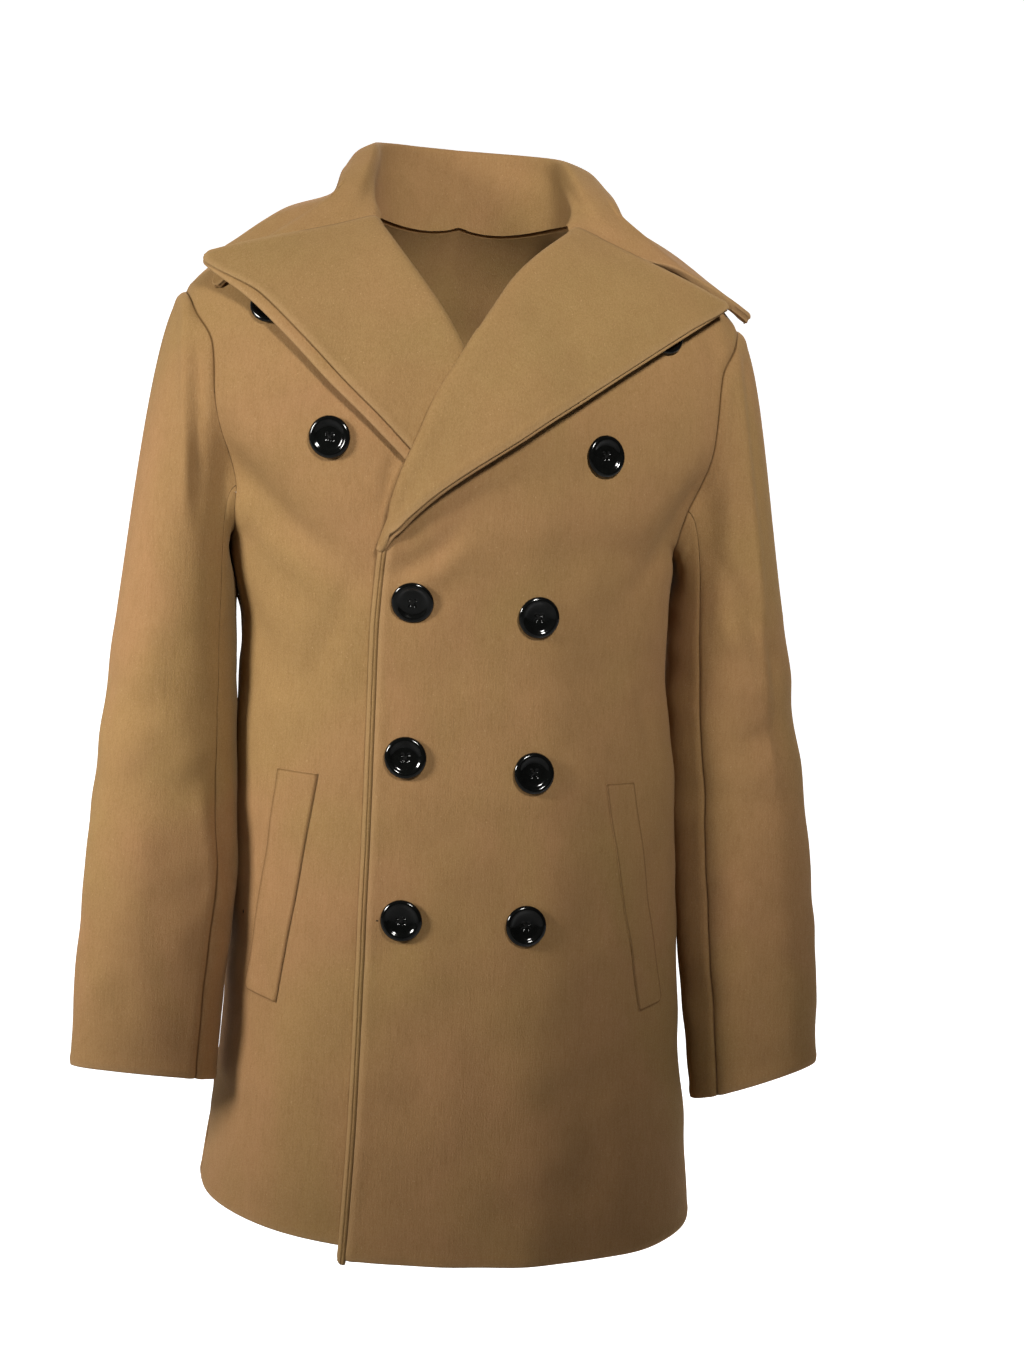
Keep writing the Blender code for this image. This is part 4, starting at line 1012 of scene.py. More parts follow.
    def armhole_fade(self, hand: Hand, points: Grid) -> Grid:
        """How far the armhole's seam shows: on the right it sinks into the cloth before the arm."""
        y, z = points[..., 1], points[..., 2]
        faded = self.seam_faded * (hand is Hand.RIGHT) * (y < 0) * (1 - ease(*self.seam_fade, z))
        return 1 - faded * ease(self.armpit_z, self.armpit_z + self.seam_fade_foot, z)

    def row_angle(self, x: Grid, z: Grid) -> Grid:
        """Angle round the section, 0 at its centre line and a quarter turn at the side."""
        half, _, _, power, centre = self.section(z)
        across = np.clip((x - centre) / half, -1.0, 1.0)
        return np.sign(across) * np.arcsin(np.abs(across) ** (power / 2))

    def across(self, angle: Grid, z: Grid) -> Grid:
        """The place x at an angle round the section."""
        half, _, _, power, centre = self.section(z)
        return centre + half * np.sign(angle) * np.abs(np.sin(angle)) ** (2 / power)

    def level_at(self, x: Grid, y: Grid, side: int) -> Grid:
        """The level at which the upper form is y before or behind the middle."""
        low, high = np.full(np.shape(x), 0.5), np.ones(np.shape(x))
        for _ in range(self.halvings):
            middle = (low + high) / 2
            deeper = np.abs(self.skin_y(x, self.height(x, middle), side)) > y
            low, high = np.where(deeper, middle, low), np.where(deeper, high, middle)
        return high


# ---- Fronts and back ---------------------------------------------------------


@dataclass
class Front:
    """One front of the coat, from its hem to the shoulder seam and the neck."""

    form: WornForm
    hand: Hand
    hem: float
    edge: tuple[EdgePoint, ...]
    roll: tuple[EdgePoint, ...]
    lift: Lift
    cut: Cut
    hem_dip: float = 0.0
    dip_up: tuple[float, float] = (0.0, 0.25)
    dip_across: tuple[float, float] = (0.1, 0.9)
    neck_bow: float = 0.4
    roll_share: float = 0.8
    settling: int = 4
    columns: int = 78
    low_rows: int = 120
    top_rows: int = 66

    def roll_line(self, shares: Grid) -> Grid:
        """Places x and z along the roll line, by its length from the break up."""
        z = np.linspace(self.roll[0].z, self.roll[-1].z, self.form.fine)
        return spaced(np.stack([Smooth.of(self.roll)(z), z, 0 * z], axis=1), shares)[:, :2]

    def edge_x(self, z: Grid) -> Grid:
        """Front edge below the break."""
        return Smooth.of(self.edge + self.roll[:1])(z)

    def inner_places(self, low: Grid, top: Grid) -> tuple[Grid, Grid]:
        """Inner edge (x, level) by rows: the front edge, the roll line, then the neckline."""
        form = self.form
        z = self.hem + (self.roll[0].z - self.hem) * low
        x = self.edge_x(z)
        rolled = self.roll_line(np.clip(top / self.roll_share, 0.0, 1.0))
        junction = self.roll_line(np.array([1.0]))[0]
        start = math.asin(float(form.level(junction[0], junction[1])))
        rise = np.clip((top - self.roll_share) / (1 - self.roll_share), 0.0, 1.0)
        bow = 1 + self.neck_bow * (1 - rise)
        neck_x = junction[0] + (self.hand.value * form.neck_x - junction[0]) * bow * rise
        neck_level = np.sin(start + (math.pi / 2 - start) * rise)
        above = top > self.roll_share
        top_x = np.where(above, neck_x, rolled[:, 0])
        top_level = np.where(above, neck_level, form.level(rolled[:, 0], rolled[:, 1]))
        return np.concatenate([x, top_x]), np.concatenate([form.level(x, z), top_level])

    def outer_places(self, low: Grid, top: Grid) -> tuple[Grid, Grid]:
        """Outer edge (x, level) by rows: the side seam, then the armhole."""
        form, hand = self.form, self.hand.value
        z = self.hem + (form.armpit_z - self.hem) * low
        half, _, _, _, centre = form.section(z)
        arm_x, arm_level = form.armhole_line(FRONT, top)
        return (np.concatenate([centre + hand * half, hand * arm_x]),
                np.concatenate([z - form.armpit_z, arm_level]))

    def places(self) -> tuple[Grid, Grid, int]:
        """x and z of the panel's grid, and the row of the armpit."""
        low, top = panel_rows(self.low_rows, self.top_rows)
        x_in, level_in = (v[:, None] for v in self.inner_places(low, top))
        x_out, level_out = (v[:, None] for v in self.outer_places(low, top))
        share = graded(self.columns)[None, :]
        level = level_in + (level_out - level_in) * share
        x = x_in + (x_out - x_in) * share
        form = self.form
        for _ in range(self.settling):
            z = form.height(x, level)
            start = form.row_angle(x_in, form.height(x_in, level_in))
            end = form.row_angle(x_out, form.height(x_out, level_out))
            x = form.across(start + (end - start) * share, z)
            x[:, 0], x[:, -1] = x_in[:, 0], x_out[:, 0]
        up = np.concatenate([low, np.ones(len(top))])[:, None]
        dip = self.hem_dip * (1 - ease(*self.dip_up, up)) * (1 - ease(*self.dip_across, share))
        return x, form.height(x, level) - dip, len(low)

    def grid(self) -> tuple[Grid, Grid]:
        """Points of the panel's outer face and their normals."""
        x, z, armpit = self.places()
        points, normal = self.form.on_panel(x, z, FRONT, self.lift(x, z))
        self.form.round_armhole(points, normal, armpit, -1)
        return points, normal

    def dress(self, finishes: Finishes) -> bpy.types.Object:
        """Build the panel and hang it in place of its solid."""
        points, normal = self.grid()
        shell = Shell(f"front_{self.hand.word}", points, normal, self.form.wall, (TURNED, SEWN, TURNED, SEWN),
                      loud=(1.0, 1.0, 1.0, self.form.armhole_fade(self.hand, points)))
        return shell.hang(finishes.melton, self.cut)


@dataclass
class Back:
    """The whole back, from one side seam to the other."""

    form: WornForm
    cut: Cut
    neck_share: float = 0.5
    settling: int = 4
    half_columns: int = 72
    low_rows: int = 120
    top_rows: int = 66

    def top_edge(self, half: Grid) -> tuple[Grid, Grid]:
        """Places (x, level) of half the neckline and the shoulder seam."""
        form = self.form
        turn = np.clip(half / self.neck_share, 0.0, 1.0) * math.pi / 2
        seam = np.clip((half - self.neck_share) / (1 - self.neck_share), 0.0, 1.0)
        at_neck = half <= self.neck_share
        x = np.where(at_neck, form.neck_x * np.sin(turn), form.neck_x + (form.tip_x - form.neck_x) * seam)
        found = form.level_at(x, form.neck_back_y * np.cos(turn), BACK)
        return x, np.where(at_neck, found, 1.0)

    def places(self) -> tuple[Grid, Grid, int]:
        """x and z of the panel's grid, and the row of the armpit."""
        form = self.form
        half = graded(self.half_columns, False, True)
        half[0] = 0.0
        angle = np.concatenate([-half[::-1], half[1:]]) * math.pi / 2
        low, top = panel_rows(self.low_rows, self.top_rows)
        across = (np.sin(angle) + 1) / 2
        rows_x, rows_z = [], []
        for share in low:
            right = form.right_hem + (form.armpit_z - form.right_hem) * share
            left = form.left_hem + (form.armpit_z - form.left_hem) * share
            z = right + (left - right) * across
            rows_x.append(form.across(angle, z))
            rows_z.append(z)
        arm_x, arm_level = form.armhole_line(BACK, top)
        top_x, top_level = self.top_edge(half)
        for even, end_x, end_level in zip(top, arm_x, arm_level):
            share = ease(0, 1, even)
            end = form.row_angle(end_x, form.height(end_x, end_level))
            level = top_level * (even + (end_level - even) * half**2)
            flat = half * end_x
            for _ in range(self.settling):
                rounded = form.across(end * half, form.height(flat, level))
                flat = rounded * (1 - share) + top_x / form.tip_x * end_x * share
            flat[-1] = end_x
            x = np.concatenate([-flat[::-1], flat[1:]])
            rows_x.append(x)
            rows_z.append(form.height(x, np.concatenate([level[::-1], level[1:]])))
        return np.array(rows_x), np.array(rows_z), len(low)

    def grid(self) -> tuple[Grid, Grid]:
        """Points of the panel's outer face and their normals."""
        x, z, armpit = self.places()
        points, normal = self.form.on_panel(x, z, BACK, self.form.no_lift(x, z))
        self.form.round_armhole(points, normal, armpit, 0, -1)
        return points, normal

    def dress(self, finishes: Finishes) -> bpy.types.Object:
        """Build the panel and hang it in place of its solid."""
        shell = Shell("back", *self.grid(), self.form.wall, (TURNED, SEWN, SEWN, SEWN))
        return shell.hang(finishes.melton, self.cut)


@dataclass
class EdgeLip:
    """The facing that rolls out as a lip along the edge of the left front."""

    front: Front
    cut: Cut
    width: float = 0.0068
    drop: float = 0.003
    stop: float = 0.006
    crown: float = 0.0015
    tuck: float = 0.0016
    crease_at: float = 0.42
    crease: float = 0.0007
    crease_width: float = 0.085
    crease_mark: float = 0.055
    waver: float = 0.035
    waver_length: float = 0.030
    waver_seed: int = 5
    corner: float = 0.0055
    rows: int = 150
    columns: int = 22

    @property
    def top(self) -> float:
        """Height at which the lip runs on as the lapel."""
        return self.front.roll[0].z - self.stop

    def rise(self, share: Grid) -> Grid:
        """Height of the lip above the front, by the share of its width from the seam."""
        hump = self.crown * (1 - (1.5 * share - 0.7) ** 2) - self.tuck * share**4
        return hump - self.crease * bell(share - self.crease_at, self.crease_width)

    def across(self, share: Grid, z: Grid) -> Grid:
        """Place x on the lip."""
        gap = self.front.form.gap
        return self.front.edge_x(z) - gap - share * (self.width - gap)

    def dress(self, finishes: Finishes) -> bpy.types.Object:
        """Build the lip and hang it in place of its solid."""
        form = self.front.form
        low = form.left_hem - self.drop
        z = (low + (self.top - low) * graded(self.rows, True, False))[:, None]
        share = np.sin(np.linspace(0, math.pi / 2, self.columns))[None, :]
        x = self.across(share, z)
        z = np.broadcast_to(z, x.shape)
        rise = self.rise(share)
        points, normal = form.on_panel(x, z, FRONT, self.front.lift(x, z) + rise)
        points = round_corner(points, 0, -1, self.corner)
        borders = (TURNED, PLAIN, Border(swell=0.0, sink=0.0004), PLAIN)
        waver = self.waver * ripple(z, 0 * z, self.waver_length, self.waver_seed)
        # painted shade: a dark wavering line along the lip's crease
        shell = Shell("facing_left", points, normal, form.wall + rise, borders,
                      crease=bell(share - self.crease_at - waver, self.crease_mark))
        return shell.hang(finishes.facing, self.cut, "front_left_cloth")


# ---- Lapels ------------------------------------------------------------------


class LapelPoint(NamedTuple):
    """A point of the lapel's outer edge and how far it stands off the chest."""

    along: float
    x: float
    z: float
    loft: float


class RollPoint(NamedTuple):
    """A point of the roll, beyond the roll line and above the panel."""

    out: float
    up: float


@dataclass
class Lapel:
    """A turned lapel: the front's own cloth and its facing, from the roll to the edge."""

    front: Front
    edge: tuple[LapelPoint, ...]
    inset: float
    under_cut: Cut
    facing_cut: Cut
    lip: EdgeLip | None = None
    tip_radius: float = 0.0065
    inset_from: float = 0.84
    inset_left: float = 0.10
    notch_from: tuple[float, float] = (0.44, 0.54)
    foot: float = 0.05
    low_foot: float = 0.13
    drop: float = 0.0030
    cloth: float = 0.0020
    ease_between: float = 0.0005
    crest: float = 0.0014
    start: float = 0.66
    rise_by: float = 0.35
    ceiling: float = 0.985
    inset_limit: float = 0.6
    lip_bend: float = 0.8
    hidden_by: tuple[float, float] = (0.05, 0.10)
    roll_knots: tuple[float, float, float, float] = (0.0, 0.35, 0.7, 6.7)
    roll_columns: int = 8
    groove_width: float = 0.0011
    groove_out: float = 0.0004
    gorge_width: float = 0.0012
    gorge_dark: float = 0.8
    stations: int = 12
    rows: int = 96
    columns: int = 46
    profile: tuple[RollPoint, ...] = table(
        RollPoint,
        (0.0026, -0.0022), (0.0033, 0.0008), (0.0022, 0.0036),
    )

    def layer(self, cut_back: float) -> tuple[Grid, Grid]:
        """One layer of the lapel.

        Args:
            cut_back: how far the layer stops before the edge.

        Returns:
            Points of its upper face, by rows from the break up, and their normals.
        """
        along = graded(self.rows)
        hinge = self.front.roll_line(along)
        rim = Smooth.of(self.edge)(along)
        tip = rim[:, :2] - hinge
        width = np.linalg.norm(tip, axis=1)
        height = self.start + (1 - self.start) * ease(0.0, self.rise_by, along)
        kept = 1 - (1 - self.inset_left) * ease(self.inset_from, 1.0, along)
        cut = np.clip(cut_back * kept / width, 0, self.inset_limit)
        near = (self.profile[-1].up + self.crest) * height
        even = np.linspace(0, 1, self.stations + 1)[1:]
        reach = [-point.out / width for point in self.profile] + [share * (1 - cut) for share in even]
        up = [point.up * height for point in self.profile]
        up += [near + (rim[:, 2] + self.cloth - near) * ease(0, 1, far) for far in reach[len(up):]]
        places = hinge + tip * np.array(reach)[..., None]
        *roll, last = self.roll_knots
        knots = np.concatenate([roll, roll[-1] + (last - roll[-1]) * even])
        section = Smooth(knots, np.concatenate([places, np.array(up)[..., None]], axis=-1))
        across = np.concatenate([np.arange(self.roll_columns) / self.roll_columns,
                                 1.0 + (last - 1.0) * graded(self.columns, False, True)])
        x, z, up = np.moveaxis(section(across), (2, 1), (0, 1))
        if self.lip is None:
            up = up - self.drop * (1 - ease(0.0, self.low_foot, along))[:, None]
        else:
            x, z, up = self.from_lip(along, across, x, z, up, cut_back > 0)
        z = np.minimum(z, self.front.form.height(x, np.full(x.shape, self.ceiling)))
        points, rough = self.front.form.on_panel(x, z, FRONT, up + self.front.lift(x, z))
        return points, grid_normal(points, rough)

    def from_lip(self, along: Grid, across: Grid, x: Grid, z: Grid, up: Grid,
                 is_facing: bool) -> tuple[Grid, Grid, Grid]:
        """Let the first rows of the lapel grow out of the lip below it.

        Args:
            along: shares of the lapel's length.
            across: places across the lapel.
            x: places sideways.
            z: heights.
            up: rises above the panel.
            is_facing: whether this is the facing, whose top runs on from the lip's.

        Returns:
            The places, heights and rises with the lapel's foot shaped.
        """
        last = self.lip.crease_at if is_facing else 0.0
        share = 1 - (1 - last) * ((across - across[0]) / (across[-1] - across[0])) ** self.lip_bend
        foot_z = np.full(share.shape, self.lip.top)
        foot_x = self.lip.across(share, foot_z)
        step = self.cloth + self.ease_between
        before, beyond = self.hidden_by
        hidden = ease(self.lip.crease_at - before, self.lip.crease_at + beyond, share)
        foot_up = self.lip.rise(share) - (step if is_facing else (step + self.lip.crown) * hidden)
        grown = ease(0.0, self.foot, along)[:, None]
        return tuple(foot + (free - foot) * grown for foot, free in ((foot_x, x), (foot_z, z), (foot_up, up)))

    def shell(self, node: str, points: Grid, normal: Grid, groove_at: float) -> Shell:
        """One layer with its tip rounded, painted shade along its gorge seam and under the edge of the layer
        above.
        """
        points = round_corner(points, -1, -1, self.tip_radius)
        shell = Shell(node, points, normal, self.cloth, (PLAIN, TURNED, SEWN, TURNED))
        _, to_top, from_roll, to_edge = shell.distances()
        sewn = 1 - ease(*self.notch_from, from_roll / (from_roll + to_edge))
        # painted shade along the gorge seam, up to the notch
        shell.crease = self.gorge_dark * bell(to_top, self.gorge_width) * sewn
        # painted shade under the edge of the facing that lies on this layer
        if groove_at > 0:
            shell.crease = shell.crease + bell(to_edge - groove_at, self.groove_width)
        return shell

    def dress(self, finishes: Finishes) -> list[bpy.types.Object]:
        """Build both layers and hang them in place of their solids."""
        word = self.front.hand.word
        shell = self.shell(f"lapel_{word}", *self.layer(0.0), self.inset + self.groove_out)
        lower = shell.hang(finishes.melton, self.under_cut, f"front_{word}_cloth")
        face, normal = self.layer(self.inset)
        raised = face + normal * (self.cloth + self.ease_between)
        shell = self.shell(f"lapel_facing_{word}", raised, normal, 0.0)
        return [lower, shell.hang(finishes.facing, self.facing_cut, lower.name)]


# ---- Collar ------------------------------------------------------------------


class CollarPoint(NamedTuple):
    """The collar at a place round the neck: crest of its fold, bend over the shoulder, edge."""

    around: float
    fold_x: float
    fold_y: float
    fold_z: float
    bend_x: float
    bend_y: float
    bend_z: float
    edge_x: float
    edge_y: float
    edge_z: float
    puff: float


class CollarTip(NamedTuple):
    """End of a collar half: its place, reach past the lapel, and how it sinks behind it."""

    x: float
    y: float
    z: float
    reach: float
    sink: float
    sink_from: float
    sink_by: float
    leave_from: float
    opening: float


@dataclass
class Collar:
    """Stand and fall of the collar, from one gorge round the neck to the other."""

    form: WornForm
    left: Lapel
    right: Lapel
    cut: Cut
    leaf: float = 0.0040
    stand_hollow: float = 0.002
    fold_inside: float = 0.010
    turn_ease: float = 0.0050
    turn_away: tuple[float, float, float] = (1.0, -0.5, 0.7)
    turn_shares: tuple[float, float, float] = (1.0, 0.7, 0.4)
    fold_over: tuple[float, float] = (0.45, 0.15)
    fold_down: tuple[float, float] = (0.76, 0.50)
    notch: tuple[float, float] = (0.42, 0.70)
    end_thicker: float = 0.0044
    end_from: tuple[float, float] = (0.3, 0.8)
    end_power: int = 10
    slit_width: float = 0.0036
    slit_from: float = 0.1
    slit_stop: tuple[float, float] = (0.90, 0.97)
    clear: float = 0.0018
    clear_by: float = 0.4
    fall_clear: float = 0.0065
    gorge_gap: float = 0.0014
    crowding: float = 1.5
    left_tip: CollarTip = CollarTip(0.2250, -0.032, -0.0650, 0.025, 0.0038, 0.60, 0.80, 0.82, 0.0140)
    right_tip: CollarTip = CollarTip(-0.202, -0.056, -0.068, 0.0, 0.0042, 0.55, 0.74, 0.70, 0.0040)
    left_rows: tuple[CollarPoint, ...] = table(
        CollarPoint,
        (0.0, 0.0, 0.08, 0.065, 0.0, 0.105, 0.03, 0.0, 0.114, -0.024, 0.002),
        (0.28, 0.043, 0.071, 0.064, 0.06, 0.094, 0.028, 0.076, 0.105, -0.026, 0.002),
        (0.52, 0.073, 0.043, 0.06, 0.1, 0.058, 0.021, 0.136, 0.078, -0.03, 0.003),
        (0.72, 0.081, 0.008, 0.053, 0.126, 0.014, 0.012, 0.184, 0.036, -0.036, 0.004),
        (0.87, 0.09, -0.027, 0.027, 0.124, -0.022, 0.007, 0.206, -0.008, -0.043, 0.003),
    )
    right_rows: tuple[CollarPoint, ...] = table(
        CollarPoint,
        (0.0, 0.0, 0.08, 0.065, 0.0, 0.105, 0.03, 0.0, 0.114, -0.024, 0.002),
        (0.28, 0.043, 0.071, 0.065, 0.06, 0.094, 0.029, 0.076, 0.105, -0.026, 0.002),
        (0.52, 0.071, 0.043, 0.062, 0.089, 0.057, 0.024, 0.134, 0.078, -0.029, 0.004),
        (0.72, 0.077, 0.008, 0.055, 0.106, 0.012, 0.018, 0.18, 0.034, -0.031, 0.009),
        (0.87, 0.086, -0.027, 0.027, 0.11, -0.024, 0.01, 0.19, -0.006, -0.032, 0.007),
    )
    tip_radius: float = 0.0085
    stations: int = 16
    relaxing: int = 2
    neck_share: float = 0.9
    around_steps: int = 150
    across_steps: int = 76

    def gorge(self, lapel: Lapel, tip: CollarTip) -> Grid:
        """Middle line of the collar's end, just behind the top edge of the lapel."""
        under, normal = lapel.layer(0.0)
        top, below = under[-1], under[-7]
        line = top - normal[-1] * (lapel.cloth / 2 - self.form.gap)
        fine = spaced(line, np.linspace(0, 1, 80))
        end = fine[-1] + unit(fine[-1] - fine[-6]) * tip.reach
        share = np.linspace(0, 1, 9)[:, None]
        places = spaced(np.vstack([fine, end]), share[:, 0] ** self.crowding)
        lifted = unit(unit(top - below).mean(axis=0))
        aside = unit(line[0] - line[-1]) * np.array([1.0, 0.0, 0.0])
        clear = self.clear * (1 - ease(0, self.clear_by, share))
        opening = tip.opening * ease(*self.notch, share)
        sunk = tip.sink * ease(tip.sink_from, tip.sink_by, share)
        away = (np.array([tip.x, tip.y, tip.z]) - end) * ease(tip.leave_from, 1.0, share)
        return (places + aside * clear + lifted * (self.gorge_gap + opening)
                - normal[-1, -1] * sunk + away)

    def section(self, base: Grid, values: Grid) -> Grid:
        """Middle line of the wall: up the stand, over the fold and down the fall."""
        fold, bend, rim, puff = values[0:3], values[3:6], values[6:9], values[9]
        out = unit((bend - fold) * [1.0, 1.0, 0.0])
        start = base + UP * (2 * self.form.gap) - out * self.leaf / 2
        stand = (start + fold) / 2 - out * self.stand_hollow
        inside = fold - UP * self.fold_inside - out * self.stand_hollow
        turns = (self.fold_over, self.fold_down)
        over, down = (fold + (bend - fold) * [side, side, drop] for side, drop in turns)
        spread = (bend + rim) / 2 + UP * puff
        return np.array([start, stand, inside, fold, over, down, bend, spread, rim])

    def half(self, hand: Hand, rows: tuple[CollarPoint, ...], gorge: Grid, front: Grid, back: Grid) -> Grid:
        """Knots of half a collar, from the gorge to the centre back.

        Args:
            hand: which half.
            rows: the collar's own places on that side.
            gorge: its end at the lapel.
            front: neckline point of the front.
            back: neckline of the back from the centre to the neck point.

        Returns:
            Sections of nine knots each.
        """
        turn = np.linspace(0, 1, self.stations)
        base = np.vstack([back, front[None]])
        around = np.concatenate([turn * rows[-2].around, [rows[-1].around]])
        mirror = np.array([hand.value, 1, 1] * 3 + [1.0])
        stations = [self.section(p, Smooth.of(rows)(a) * mirror) for p, a in zip(base, around)]
        middle = (stations[-1] + gorge) / 2
        away = unit(np.array(self.turn_away) * [-hand.value, 1, 1]) * self.turn_ease
        middle[:3] += away * np.array(self.turn_shares)[:, None]
        stations += [middle, gorge]
        for section in stations[:-1]:
            x, y = section[-3:, 0], section[-3:, 1]
            side = FRONT if y.mean() < 0 else BACK
            floor = self.form.height(x, self.form.level_at(x, np.abs(y), side)) + self.fall_clear
            section[-3:, 2] = np.maximum(section[-3:, 2], floor)
        line = np.array(stations)
        for _ in range(self.relaxing):
            line[-4:-1, 1:5] = (line[-5:-2, 1:5] + 2 * line[-4:-1, 1:5] + line[-3:, 1:5]) / 4
        return line[::-1]

    def knots(self) -> Grid:
        """Sections of the whole collar from the right gorge to the left one."""
        form = self.form
        turn = np.linspace(0, math.pi / 2, self.stations)
        x = form.neck_x * np.sin(turn)
        level = form.level_at(x, form.neck_back_y * np.cos(turn), BACK)
        halves = []
        for hand, rows, lapel, tip in (
            (Hand.LEFT, self.left_rows, self.left, self.left_tip),
            (Hand.RIGHT, self.right_rows, self.right, self.right_tip),
        ):
            side_x = hand.value * x
            back, _ = form.on_skin(side_x, form.height(side_x, level), BACK, form.no_lift(x, x))
            inner_x, inner_level = lapel.front.inner_places(np.array([0.0]), np.array([self.neck_share]))
            z = form.height(inner_x, inner_level)
            front, _ = form.on_skin(inner_x, z, FRONT, lapel.front.lift(inner_x, z))
            halves.append(self.half(hand, rows, self.gorge(lapel, tip), front[-1], back))
        return np.concatenate([halves[1], halves[0][::-1][1:]], axis=0)

    def dress(self, finishes: Finishes) -> bpy.types.Object:
        """Build the collar and hang it in place of its solid."""
        knots = middle = self.knots()
        for count in (self.around_steps, self.across_steps):
            steps = np.linalg.norm(np.diff(knots, axis=0), axis=-1).mean(axis=1)
            run = np.concatenate([[0.0], np.cumsum(steps)])
            middle = np.swapaxes(Smooth(run, middle)(graded(count) * run[-1]), 0, 1)
            knots = np.swapaxes(knots, 0, 1)
        normal = unit(np.cross(np.gradient(middle, axis=1), np.gradient(middle, axis=0)))
        for end in (0, -1):
            middle = round_corner(middle, end, -1, self.tip_radius)
        around, across = (np.linspace(0, 1, count) for count in middle.shape[:2])
        leaf = self.leaf + self.end_thicker * around[:, None] ** self.end_power * ease(*self.end_from, across)
        outer = middle + normal * leaf[..., None] / 2
        shell = Shell("collar", outer, normal, leaf, (TURNED, TURNED, SEWN, TURNED), rim_loops=5, groove=0.35)
        _, to_left_end, from_neck, to_edge = shell.distances()
        share = from_neck / (from_neck + to_edge)
        # painted shadow: a dark band along the collar's left end, where the lapel's edge lies over it
        slit = ease(self.notch[0], self.notch[0] + self.slit_from, share) * (1 - ease(*self.slit_stop, share))
        shell.crease = bell(to_left_end, self.slit_width) * slit
        return shell.hang(finishes.melton, self.cut, "back_cloth")


# ---- Sleeves -----------------------------------------------------------------


class SleeveRow(NamedTuple):
    """Level section of a sleeve."""

    z: float
    x: float
    half_width: float
    y: float
    half_depth: float


class SleeveFold(NamedTuple):
    """Fold of a sleeve; the angle is 0 outside and 90 in front, turn is rise per degree."""

    angle: float
    z: float
    turn: float
    reach_angle: float
    reach_z: float
    height: float


